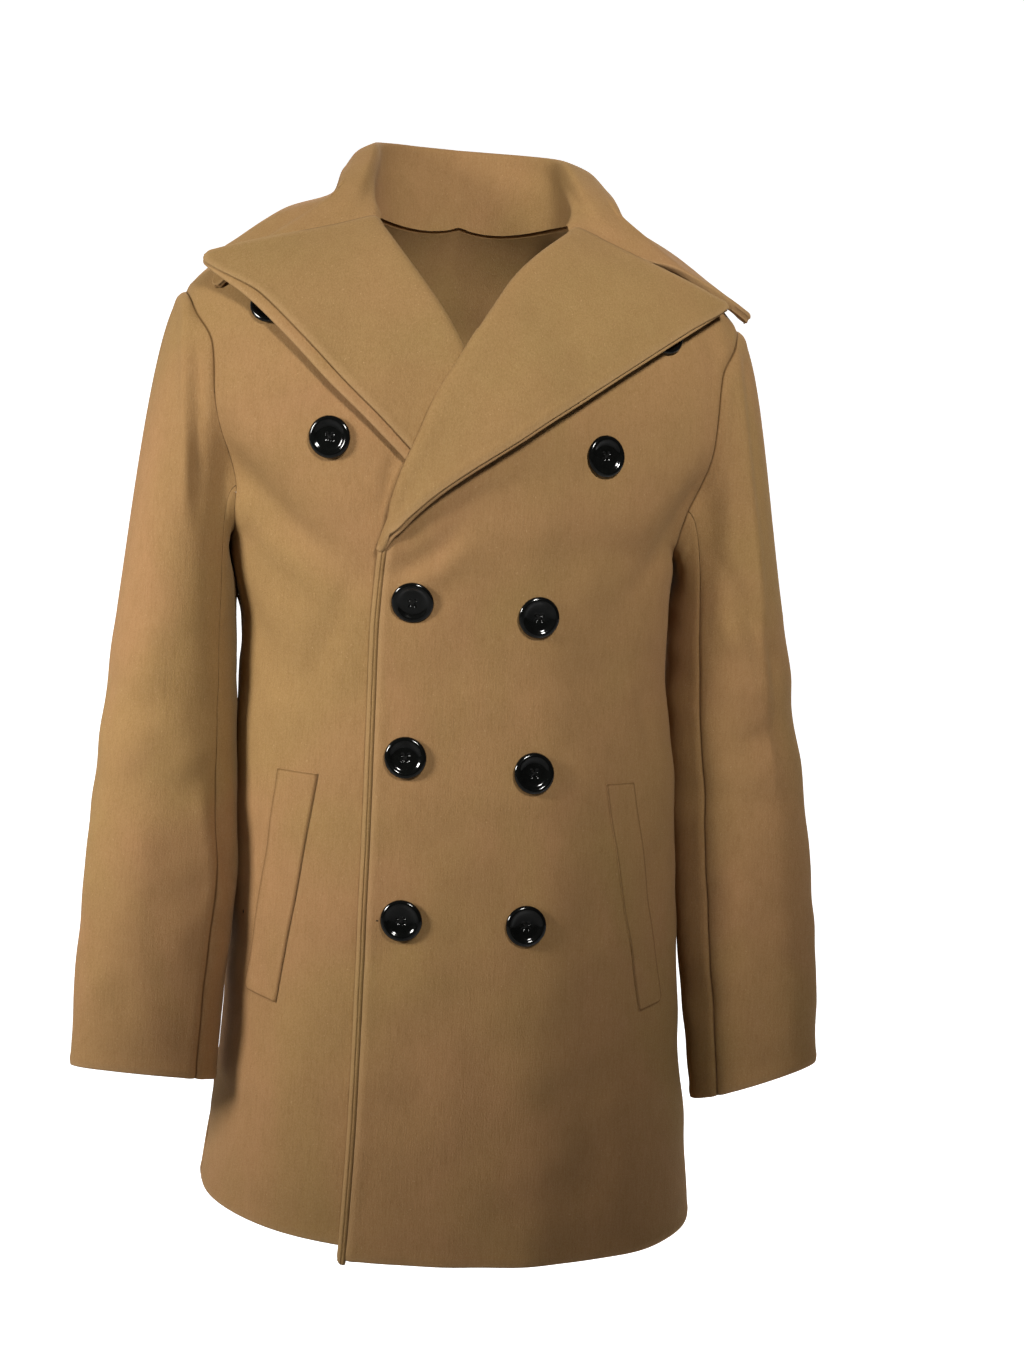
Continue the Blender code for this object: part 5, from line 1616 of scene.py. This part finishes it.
@dataclass
class Sleeve:
    """Upper and under sleeve, from the armhole to the cuff."""

    form: WornForm
    hand: Hand
    arm: tuple[SleeveRow, ...]
    tilt_out: float
    tilt_fore: float
    folds: tuple[SleeveFold, ...]
    creases: tuple[Fold, ...]
    upper_cut: Cut
    under_cut: Cut
    seam_shows_below: float = 0.0
    seam_fade: float = 0.15
    seam_faded: float = 0.85
    cap_out: float = 0.030
    cap_crown: float = 0.035
    cap_fall: float = 0.35
    cap_pull: float = 1.15
    squareness: float = 2.15
    seam_angle: float = 135.0
    seam_share: float = 0.7
    crease_facing: tuple[float, float] = (-0.1, 0.5)
    unrest: float = 0.00035
    unrest_length: float = 0.050
    unrest_seed: int = 23
    cap_rows: int = 40
    arm_rows: int = 112
    upper_columns: int = 84
    under_columns: int = 34
    shared_folds: tuple[SleeveFold, ...] = table(
        SleeveFold,
        (60, -0.395, -0.0003, 55, 0.022, -0.003), (95, -0.45, 0.00025, 50, 0.022, -0.0034),
        (-70, -0.41, 0.0002, 60, 0.024, -0.003), (-110, -0.475, -0.00018, 50, 0.024, -0.0032),
    )

    def armhole(self, angle: Grid) -> Grid:
        """Points of the armhole at angles round the sleeve."""
        turned = np.abs(angle)
        from_tip = np.where(
            turned <= self.seam_angle,
            self.seam_share * turned / self.seam_angle,
            self.seam_share + (1 - self.seam_share) * (turned - self.seam_angle) / (180 - self.seam_angle),
        )
        found = []
        for side in (FRONT, BACK):
            x, level = self.form.armhole_line(side, 1 - from_tip)
            x = x * self.hand.value
            points, _ = self.form.on_skin(x, self.form.height(x, level), side, self.form.no_lift(x, x))
            found.append(points)
        return np.where((angle > 0)[:, None], found[0], found[1])

    def ring(self, angle: Grid, z: float) -> Grid:
        """One section of the arm, tilted more the nearer it is to the cuff."""
        x, half_width, y, half_depth = Smooth.of(self.arm)(z)
        turn = np.radians(angle)
        power = 2 / self.squareness
        swell = np.zeros(len(angle))
        for fold in self.shared_folds + self.folds:
            off = (angle - fold.angle + 180) % 360 - 180
            rise = z - fold.z - fold.turn * off
            swell += fold.height * bell(off, fold.reach_angle) * bell(rise, fold.reach_z)
        unrest = ripple(turn * half_width, np.full(len(angle), z), self.unrest_length,
                        self.unrest_seed + self.hand.value)
        swell += self.unrest * unrest
        out, fore = (np.sign(part) * np.abs(part) ** power * (half + swell)
                     for part, half in ((np.cos(turn), half_width), (np.sin(turn), half_depth)))
        rise = (self.tilt_out * out + self.tilt_fore * fore) * ease(self.arm[0].z, self.arm[-1].z, z)
        return np.stack([self.hand.value * (x + out), y - fore, z + rise], axis=1)

    def grid(self, angle: Grid) -> tuple[Grid, Grid]:
        """Points of the sleeve at angles round it, and their normals."""
        ring = self.armhole(angle) + np.array([self.hand.value * self.form.gap, 0.0, 0.0])
        shares = graded(self.arm_rows, False, True)
        shares[0] = 0.0
        levels = self.arm[0].z + (self.arm[-1].z - self.arm[0].z) * shares
        lower = [self.ring(angle, float(z)) for z in levels]
        first = lower[0]
        down = unit(self.ring(angle, float(levels[0]) - self.cap_out) - first)
        length = np.linalg.norm(first - ring, axis=1, keepdims=True)
        crown = ((1 + np.cos(np.radians(angle))) / 2)[:, None]
        reach = self.cap_out + self.cap_crown * crown
        leave = unit(np.array([self.hand.value, 0.0, -self.cap_fall])) * reach
        pull = down * length * self.cap_pull
        cap = [bridged(f, ring, leave, first, pull) for f in graded(self.cap_rows, True, False)[1:-1]]
        grid = np.array([ring] + cap + lower)
        normal = grid_normal(grid, grid - self.middle(grid))
        for side in (FRONT, BACK):
            facing = ease(*self.crease_facing, side * normal[..., 1])
            rise = facing * folded(self.creases, grid[..., 0], grid[..., 2], side)
            grid = grid + normal * rise[..., None]
        return grid, turned_near(normal, self.form.armhole_normal(ring)[None], grid, grid[:1])

    def middle(self, grid: Grid) -> Grid:
        """Rough middle of the arm beside every row of a grid."""
        height = grid[..., 2].mean(axis=1)
        x, _, y, _ = Smooth.of(self.arm)(np.clip(height, self.arm[-1].z, self.arm[0].z)).T
        return np.stack([self.hand.value * x, y, height], axis=-1)[:, None]

    def dress(self, finishes: Finishes) -> list[bpy.types.Object]:
        """Build both pieces and hang them in place of their solids."""
        made = []
        borders = (Border(swell=0.0011, swell_at=0.0085, swell_width=0.0055), TURNED, SEWN, SEWN)
        for part, low, high, count, cut in (
            ("upper", -self.seam_angle, self.seam_angle, self.upper_columns, self.upper_cut),
            ("under", self.seam_angle, 360 - self.seam_angle, self.under_columns, self.under_cut),
        ):
            angle = low + (high - low) * graded(count)
            angle = np.where(angle > 180, angle - 360, angle)
            points, normal = self.grid(angle)
            side = unit(np.gradient(points, axis=1)) * self.form.gap
            points[:, 0] += side[:, 0]
            points[:, -1] -= side[:, -1]
            hidden = ease(self.seam_shows_below, self.seam_shows_below + self.seam_fade, points[..., 2])
            long_seams = 1 - self.seam_faded * hidden
            shell = Shell(f"sleeve_{self.hand.word}_{part}", points, normal, self.form.wall, borders,
                          loud=(self.form.armhole_fade(self.hand, points), 1.0, long_seams, long_seams))
            made.append(shell.hang(finishes.melton, cut, f"front_{self.hand.word}_cloth"))
        return made


# ---- Welts, buttons and their threads ----------------------------------------


@dataclass
class PocketWelt:
    """A slanted pocket welt lying on its front, with its top and low ends as inner and outer x."""

    front: Front
    top: tuple[float, float]
    low: tuple[float, float]
    z_top: float
    z_low: float
    cut: Cut
    cloth: float = 0.0009
    slant: float = 0.0035
    corner: float = 0.0060
    seam_width: float = 0.0011
    seam_dark: float = 0.9
    rows: int = 70
    columns: int = 16

    def dress(self, finishes: Finishes) -> bpy.types.Object:
        """Build the welt and hang it in place of its solid."""
        form = self.front.form
        down = graded(self.rows)[:, None]
        over = graded(self.columns)[None, :]
        x_in, x_out = (top + (low - top) * down for top, low in zip(self.top, self.low))
        x = x_in + (x_out - x_in) * over
        z = self.z_top + (self.z_low - self.z_top) * down + self.slant * down * over
        points, normal = form.on_panel(x, z, FRONT, self.front.lift(x, z) + form.gap + self.cloth)
        points = round_corner(points, -1, -1, self.corner)
        edge = Border(Work.TURNED, swell=0.0002, swell_at=0.003, swell_width=0.002, rubbed=0.0)
        word = self.front.hand.word
        shell = Shell(f"pocket_welt_{word}", points, normal, self.cloth, (edge,) * 4, plump=0.7)
        # painted shade: dark lines along all four edges of the welt
        shell.crease = self.seam_dark * sum(bell(far, self.seam_width) for far in shell.distances())
        return shell.hang(finishes.melton, self.cut, f"front_{word}_cloth")


@dataclass
class Button:
    """A dished round button with four holes, sewn through with black thread."""

    front: Front
    name: str
    x: float
    z: float
    radius: float = 0.0162
    height: float = 0.0042
    hole_radius: float = 0.00115
    hole_out: float = 0.0029
    hole_depth: float = 0.0009
    hole_edge: tuple[float, float] = (0.6, 1.2)
    well: float = 0.4
    strand_radius: float = 0.00032
    strand_apart: float = 0.00035
    strand_bow: float = 0.0003
    strand_dive: float = 0.0010
    strand_sides: int = 8
    strand_rings: int = 13
    sides: int = 72
    seat: float = 0.004
    profile: tuple[RollPoint, ...] = table(
        RollPoint,
        (0.0, 0.5), (0.06, 0.5), (0.12, 0.5), (0.17, 0.5), (0.21, 0.5), (0.25, 0.505), (0.3, 0.51),
        (0.38, 0.525), (0.48, 0.55), (0.58, 0.6), (0.65, 0.69), (0.7, 0.82), (0.75, 0.93), (0.81, 0.995),
        (0.87, 0.98), (0.93, 0.89), (0.975, 0.73), (1.0, 0.55), (0.985, 0.38), (0.93, 0.27), (0.8, 0.22),
        (0.5, 0.22), (0.34, 0.22), (0.3, 0.02),
    )

    def axes(self) -> tuple[Grid, Grid, Grid, Grid]:
        """Seat of the button, its direction out, and its two sideways directions."""
        form = self.front.form
        x = self.x + self.seat * np.array([0, 1, -1, 0, 0])
        z = self.z + self.seat * np.array([0, 0, 0, 1, -1])
        seat, _ = form.on_skin(x, z, FRONT, self.front.lift(x, z))
        out = unit(np.cross(seat[1] - seat[2], seat[3] - seat[4]))
        out = out * (1 if out[1] < 0 else -1)
        side = unit(np.cross(out, UP))
        return seat[0], out, side, np.cross(side, out)

    def dress(self, finishes: Finishes) -> bpy.types.Object:
        """Build the button with its thread and hang it in place of its solid."""
        seat, out, side, up = self.axes()
        turn = np.linspace(0, 2 * math.pi, self.sides, endpoint=False)
        rings = []
        for point in self.profile[1:]:
            flat = np.stack([np.cos(turn), np.sin(turn)], axis=1) * point.out * self.radius
            height = np.full(self.sides, point.up * self.height)
            if point.out < self.well < point.up:
                for angle in math.pi / 4 + np.arange(4) * math.pi / 2:
                    hole = self.hole_out * np.array([math.cos(angle), math.sin(angle)])
                    away = np.linalg.norm(flat - hole, axis=1) / self.hole_radius
                    height -= self.hole_depth * (1 - ease(*self.hole_edge, away))
            rings.append(np.column_stack([flat, height]))
        flat = np.vstack(rings + [[[0, 0, self.profile[0].up * self.height]], [[0, 0, 0]]])
        points = seat + flat[:, :1] * side + flat[:, 1:2] * up
        points = points + (flat[:, 2:] + 2 * self.front.form.gap) * out
        n, last = self.sides, len(rings) * self.sides
        here = np.arange(n)
        after = np.roll(here, -1)
        faces: list[list[int]] = np.stack([here, after, np.full(n, last)], axis=-1).tolist()
        faces += np.stack([last - n + after, last - n + here, np.full(n, last + 1)], axis=-1).tolist()
        faces += tube(len(rings), n, capped=False)
        piece = solid(f"{self.name}_gloss", lean(points), faces, finishes.gloss, sharp=70.0)
        settle(piece, "button", self.name)
        self.sew(finishes)
        return piece

    def sew(self, finishes: Finishes) -> None:
        """Sew the button on with two crossed pairs of strands."""
        seat, out, side, up = self.axes()
        size = self.strand_sides
        turn = np.linspace(0, 2 * math.pi, size, endpoint=False)[:, None]
        rings: list[Grid] = []
        faces: list[list[int]] = []
        for angle in (math.pi / 4, 3 * math.pi / 4):
            run = math.cos(angle) * side + math.sin(angle) * up
            wide = np.cross(out, run)
            thick = self.strand_radius * (np.cos(turn) * wide + np.sin(turn) * out)
            for lane in (-self.strand_apart, self.strand_apart):
                faces += tube(self.strand_rings, size, len(rings) * size)
                for t in np.linspace(-1, 1, self.strand_rings):
                    rise = self.height * 0.5 + self.strand_bow * (1 - t**2) - self.strand_dive * abs(t) ** 6
                    centre = seat + run * t * self.hole_out + wide * lane
                    rings.append(centre + out * (rise + 2 * self.front.form.gap) + thick)
        strands = solid(f"{self.name}_thread", lean(np.vstack(rings)), faces, finishes.black_thread)
        settle(strands, "button")


@dataclass
class BarTack:
    """A small knot of thread at the end of a buttonhole."""

    front: Front
    name: str
    x: float
    z: float
    half_length: float = 0.0024
    half_width: float = 0.0012
    half_height: float = 0.0006
    rings: int = 7
    sides: int = 16

    def dress(self, finishes: Finishes) -> bpy.types.Object:
        """Build the knot on its front."""
        x, z = np.array([self.x]), np.array([self.z])
        (place,), (out,) = self.front.form.on_skin(x, z, FRONT, self.front.lift(x, z))
        side = unit(np.cross(out, UP))
        up = np.cross(side, out)
        turn = np.linspace(0, 2 * math.pi, self.sides, endpoint=False)[:, None]
        loop = np.cos(turn) * self.half_width * up + np.sin(turn) * self.half_height * out
        points = np.vstack([
            place + math.sin(tilt) * loop + math.cos(tilt) * self.half_length * side
            for tilt in np.linspace(0, math.pi, self.rings + 2)[1:-1]
        ])
        knot = solid(self.name, lean(points), tube(self.rings, self.sides), finishes.tan_thread)
        return settle(knot, "melton")


# ---- Studio ------------------------------------------------------------------


WARM = (1.0, 0.985, 0.95)


class LampPlan(NamedTuple):
    """A soft lamp: its place, what it faces, its size, spread in degrees and power."""

    name: str
    place: tuple[float, float, float]
    aim: tuple[float, float, float]
    size: float
    spread: float
    power: float
    colour: Colour


@dataclass
class Studio:
    """Pale floor and wall, soft lights and the camera."""

    floor_z: float = -1.35
    wall_y: float = 3.2
    wall_top: float = 4.0
    half_width: float = 6.0
    near_y: float = -5.0
    bend: float = 1.2
    turn_degrees: float = -6.5
    distance: float = 1.8
    camera_z: float = -0.15
    target: tuple[float, float, float] = (0.052, 0.0, -0.37)
    roll_degrees: float = 2.5
    lens: float = 58.0
    sensor: float = 36.0
    air: float = 0.015
    air_colour: tuple[float, float, float, float] = (1.0, 0.97, 0.92, 1.0)
    lamps: tuple[LampPlan, ...] = table(
        LampPlan,
        ("key_light", (-1.75, -0.80, 0.25), (-0.25, 0.0, -0.40), 0.5, 50.0, 4.0, WARM),
        ("front_light", (0.50, -2.30, 1.20), (0.15, 0.0, -0.035), 0.5, 34.0, 3.15, WARM),
        ("back_light", (0.60, 2.20, 1.50), (0.0, 0.0, -0.35), 1.6, 160.0, 40.0, (1.0, 1.0, 1.0)),
    )

    def backdrop(self) -> bpy.types.Object:
        """Floor that curves up into the wall behind."""
        angles = np.linspace(0, math.pi / 2, 17)
        y = [self.near_y] + list(self.wall_y - self.bend + self.bend * np.sin(angles)) + [self.wall_y]
        z = [self.floor_z] + list(self.floor_z + self.bend * (1 - np.cos(angles))) + [self.wall_top]
        points = [(side * self.half_width, a, b) for side in (-1, 1) for a, b in zip(y, z)]
        n = len(y)
        faces = [(k, k + 1, n + k + 1, n + k) for k in range(n - 1)]
        mesh = bpy.data.meshes.new("studio_floor")
        mesh.from_pydata(points, [], faces)
        mesh.shade_smooth()
        mesh.materials.append(StudioPaint().make())
        floor = placed("studio_floor", mesh)
        return floor

    def lamp(self, plan: LampPlan) -> bpy.types.Object:
        """A square soft lamp that faces its place on the coat."""
        light = bpy.data.lights.new(plan.name, "AREA")
        light.shape = "SQUARE"
        light.size = plan.size
        light.energy = plan.power
        light.color = plan.colour
        light.spread = math.radians(plan.spread)
        lamp = placed(plan.name, light)
        lamp.location = plan.place
        self.face(lamp, np.array(plan.aim), 0.0)
        return lamp

    def face(self, thing: bpy.types.Object, target: Grid, roll: float) -> None:
        """Point a lamp or camera at a target, rolled by some degrees."""
        place = np.array(thing.location)
        ahead = unit(target - place)
        right = unit(np.cross(ahead, UP))
        above = np.cross(right, ahead)
        turn = math.radians(roll)
        across = right * math.cos(turn) + above * math.sin(turn)
        upward = above * math.cos(turn) - right * math.sin(turn)
        matrix = np.eye(4)
        matrix[:3] = np.column_stack([across, upward, -ahead, place])
        thing.matrix_world = Matrix(matrix.tolist())

    def camera(self) -> bpy.types.Object:
        """The camera, from a little to the coat's right."""
        lens = bpy.data.cameras.new("view")
        lens.lens = self.lens
        lens.sensor_width = self.sensor
        lens.sensor_fit = "AUTO"
        lens.dof.use_dof = False
        eye = placed("view", lens)
        turn = math.radians(self.turn_degrees)
        eye.location = (math.sin(turn) * self.distance, -math.cos(turn) * self.distance, self.camera_z)
        self.face(eye, np.array(self.target), self.roll_degrees)
        bpy.context.scene.camera = eye
        return eye

    def set_up(self) -> None:
        """Build everything round the coat."""
        self.backdrop()
        for plan in self.lamps:
            self.lamp(plan)
        world = bpy.data.worlds.new("studio_air")
        world.use_nodes = True
        air = world.node_tree.nodes["Background"]
        air.inputs["Color"].default_value = self.air_colour
        air.inputs["Strength"].default_value = self.air
        scene = bpy.context.scene
        scene.world = world
        scene.view_settings.view_transform = "Standard"
        scene.view_settings.look = "None"
        self.camera()


# ---- The coat ----------------------------------------------------------------


@dataclass
class PeaCoat:
    """All pieces of the coat with their places and cuts."""

    form: WornForm = field(default_factory=WornForm)
    left_edge: tuple[EdgePoint, ...] = table(
        EdgePoint,
        (-0.83, -0.0795), (-0.7, -0.0735), (-0.585, -0.0715), (-0.414, -0.0695), (-0.32, -0.069),
        (-0.294, -0.0681), (-0.272, -0.0667),
    )
    left_roll: tuple[EdgePoint, ...] = table(
        EdgePoint,
        (-0.25, -0.0645), (-0.23, -0.0605), (-0.203, -0.053), (-0.178, -0.043), (-0.145, -0.029),
        (-0.116, -0.012), (-0.071, 0.016), (-0.049, 0.031), (-0.03, 0.05), (-0.006, 0.0825),
    )
    right_edge: tuple[EdgePoint, ...] = table(
        EdgePoint,
        (-0.83, 0.052), (-0.6, 0.048), (-0.4, 0.04), (-0.265, 0.022),
    )
    right_roll: tuple[EdgePoint, ...] = table(
        EdgePoint,
        (-0.25, 0.018), (-0.2, 0.009), (-0.15, -0.001), (-0.113, -0.0132), (-0.094, -0.0225),
        (-0.07, -0.037), (-0.045, -0.055), (-0.03, -0.066), (-0.009, -0.0805),
    )
    left_lapel: tuple[LapelPoint, ...] = table(
        LapelPoint,
        (0.0, -0.063, -0.249, 0.002), (0.03, -0.0605, -0.2445, 0.003), (0.05, -0.058, -0.243, 0.004),
        (0.1, -0.047, -0.2305, 0.0055), (0.19, -0.025, -0.21, 0.0085), (0.38, 0.029, -0.1715, 0.012),
        (0.55, 0.075, -0.141, 0.0125), (0.7, 0.12, -0.1105, 0.012), (0.85, 0.162, -0.084, 0.012),
        (1.0, 0.197, -0.063, 0.013),
    )
    right_lapel: tuple[LapelPoint, ...] = table(
        LapelPoint,
        (0.0, 0.01, -0.252, 0.0008), (0.12, -0.018, -0.224, 0.0014), (0.25, -0.049, -0.193, 0.003),
        (0.4, -0.079, -0.164, 0.0048), (0.55, -0.11, -0.136, 0.0062), (0.7, -0.14, -0.106, 0.0072),
        (0.85, -0.171, -0.078, 0.01), (0.95, -0.193, -0.064, 0.0145), (1.0, -0.204, -0.056, 0.016),
    )
    right_arm: tuple[SleeveRow, ...] = table(
        SleeveRow,
        (-0.3, 0.2225, 0.046, -0.002, 0.07), (-0.38, 0.2275, 0.0505, -0.012, 0.063),
        (-0.46, 0.2305, 0.0545, -0.026, 0.056), (-0.55, 0.2335, 0.0585, -0.04, 0.049),
        (-0.64, 0.239, 0.0585, -0.048, 0.044), (-0.69, 0.2405, 0.0575, -0.051, 0.041),
    )
    left_arm: tuple[SleeveRow, ...] = table(
        SleeveRow,
        (-0.3, 0.229, 0.0455, -0.002, 0.07), (-0.38, 0.2375, 0.0505, -0.008, 0.063),
        (-0.46, 0.2465, 0.053, -0.018, 0.056), (-0.55, 0.2545, 0.0545, -0.028, 0.049),
        (-0.64, 0.263, 0.0535, -0.034, 0.044), (-0.69, 0.2665, 0.0515, -0.036, 0.041),
    )
    left_swells: tuple[SleeveFold, ...] = table(SleeveFold, (180, -0.445, 0.0, 52, 0.17, 0.0064))
    right_swells: tuple[SleeveFold, ...] = table(
        SleeveFold,
        (152, -0.5, 0.0, 42, 0.11, 0.0062), (180, -0.4, 0.0, 50, 0.08, 0.0016),
    )
    left_creases: tuple[Fold, ...] = table(
        Fold,
        (-1, 0.211, -0.074, 0.256, -0.392, 0.0052, 0.0034),
        (-1, 0.222, -0.086, 0.237, -0.22, 0.007, -0.0022, 0.002),
        (-1, 0.206, -0.074, 0.218, -0.072, 0.0035, -0.0016, 0.0),
        (-1, 0.212, -0.262, 0.264, -0.338, 0.0085, -0.0038, 0.004),
        (-1, 0.212, -0.3, 0.256, -0.366, 0.009, 0.0026, 0.004),
        (-1, 0.258, -0.33, 0.262, -0.4, 0.009, -0.003, 0.003),
        (-1, 0.23, -0.4, 0.265, -0.385, 0.01, -0.0014, 0.003),
        (-1, 0.24, -0.5, 0.248, -0.64, 0.012, 0.0012, 0.004),
        (1, 0.22, -0.3, 0.265, -0.35, 0.01, -0.0024, 0.004),
        (1, 0.22, -0.36, 0.27, -0.4, 0.011, -0.002, -0.004),
        (1, 0.218, -0.1, 0.225, -0.2, 0.01, 0.0014, 0.002),
        (1, 0.245, -0.48, 0.255, -0.62, 0.012, 0.0012, 0.004),
    )
    right_creases: tuple[Fold, ...] = table(
        Fold,
        (-1, -0.2215, -0.078, -0.218, -0.225, 0.0046, 0.0036, 0.0),
        (-1, -0.211, -0.105, -0.208, -0.235, 0.0065, -0.003, 0.001),
        (-1, -0.19, -0.452, -0.172, -0.53, 0.0065, -0.003, 0.002),
        (-1, -0.199, -0.462, -0.182, -0.545, 0.008, 0.002, 0.002),
        (-1, -0.235, -0.36, -0.195, -0.395, 0.012, -0.0016, 0.004),
        (-1, -0.25, -0.42, -0.205, -0.44, 0.012, 0.0012, 0.004),
        (-1, -0.245, -0.48, -0.238, -0.64, 0.014, 0.0012, 0.004),
        (1, -0.215, -0.3, -0.26, -0.35, 0.01, -0.0024, 0.004),
        (1, -0.215, -0.37, -0.265, -0.4, 0.011, -0.002, -0.004),
        (1, -0.218, -0.1, -0.22, -0.2, 0.01, 0.0014, 0.002),
        (1, -0.245, -0.48, -0.24, -0.62, 0.012, 0.0012, 0.004),
    )
    buttons: tuple[tuple[str, float, float], ...] = (
        ("r1_right", -0.157, -0.078), ("r1_left", 0.148, -0.081),
        ("r2_right", -0.111, -0.175), ("r2_left", 0.099, -0.177),
        ("r3_right", -0.045, -0.295), ("r3_left", 0.051, -0.302),
        ("r4_right", -0.046, -0.415), ("r4_left", 0.052, -0.423),
        ("r5_right", -0.045, -0.540), ("r5_left", 0.050, -0.541),
    )
    bar_tacks: tuple[tuple[float, float], ...] = ((-0.0650, -0.297), (-0.0645, -0.4176), (-0.0640, -0.5418))

    def dress(self, finishes: Finishes) -> None:
        """Build every piece of the coat in order."""
        form = self.form
        left = Front(form, Hand.LEFT, form.left_hem, self.left_edge, self.left_roll, form.left_lift,
                     Cut(0.46, 0.86, 0.26))
        right = Front(form, Hand.RIGHT, form.right_hem, self.right_edge, self.right_roll, form.no_lift,
                      Cut(0.42, 0.85, 0.22), hem_dip=0.0080)
        left.dress(finishes)
        right.dress(finishes)
        Back(form, Cut(0.60, 0.84, 0.40)).dress(finishes)
        lip = EdgeLip(left, Cut(0.012, 0.56, 0.0056))
        lip.dress(finishes)
        left_lapel = Lapel(left, self.left_lapel, 0.0024, Cut(0.19, 0.30, 0.0295),
                           Cut(0.19, 0.30, 0.0305), lip)
        right_lapel = Lapel(right, self.right_lapel, 0.0105, Cut(0.16, 0.30, 0.0277),
                            Cut(0.16, 0.30, 0.0267), tip_radius=0.0200)
        left_lapel.dress(finishes)
        right_lapel.dress(finishes)
        Collar(form, left_lapel, right_lapel, Cut(0.62, 0.20, 0.0807)).dress(finishes)
        Sleeve(form, Hand.LEFT, self.left_arm, 0.34, 0.22, self.left_swells, self.left_creases,
               Cut(0.34, 0.66, 0.148), Cut(0.14, 0.52, 0.0443), seam_shows_below=-0.36).dress(finishes)
        Sleeve(form, Hand.RIGHT, self.right_arm, 0.08, 0.24, self.right_swells, self.right_creases,
               Cut(0.34, 0.66, 0.151), Cut(0.14, 0.52, 0.042), seam_shows_below=-0.52).dress(finishes)
        PocketWelt(right, (-0.112, -0.141), (-0.138, -0.161), -0.434, -0.619,
                   Cut(0.04, 0.20, 0.0071)).dress(finishes)
        PocketWelt(left, (0.113, 0.138), (0.151, 0.173), -0.432, -0.616,
                   Cut(0.04, 0.20, 0.0058)).dress(finishes)
        for name, x, z in self.buttons:
            on_left = x > 0 or z < self.left_roll[0].z
            Button(left if on_left else right, f"button_{name}", x, z).dress(finishes)
        for number, (x, z) in enumerate(self.bar_tacks, start=1):
            BarTack(left, f"buttonhole_bar_{number}", x, z).dress(finishes)
        BarTack(right, "thread_fleck", -0.1643, -0.5560, 0.0010, 0.0016).dress(finishes)


def main() -> None:
    """Dress the coat and set up the studio."""
    logging.basicConfig(level=logging.INFO, format="%(message)s")
    finishes = Finishes.mixed()
    PeaCoat().dress(finishes)
    Studio().set_up()


if __name__ == "__main__":
    main()
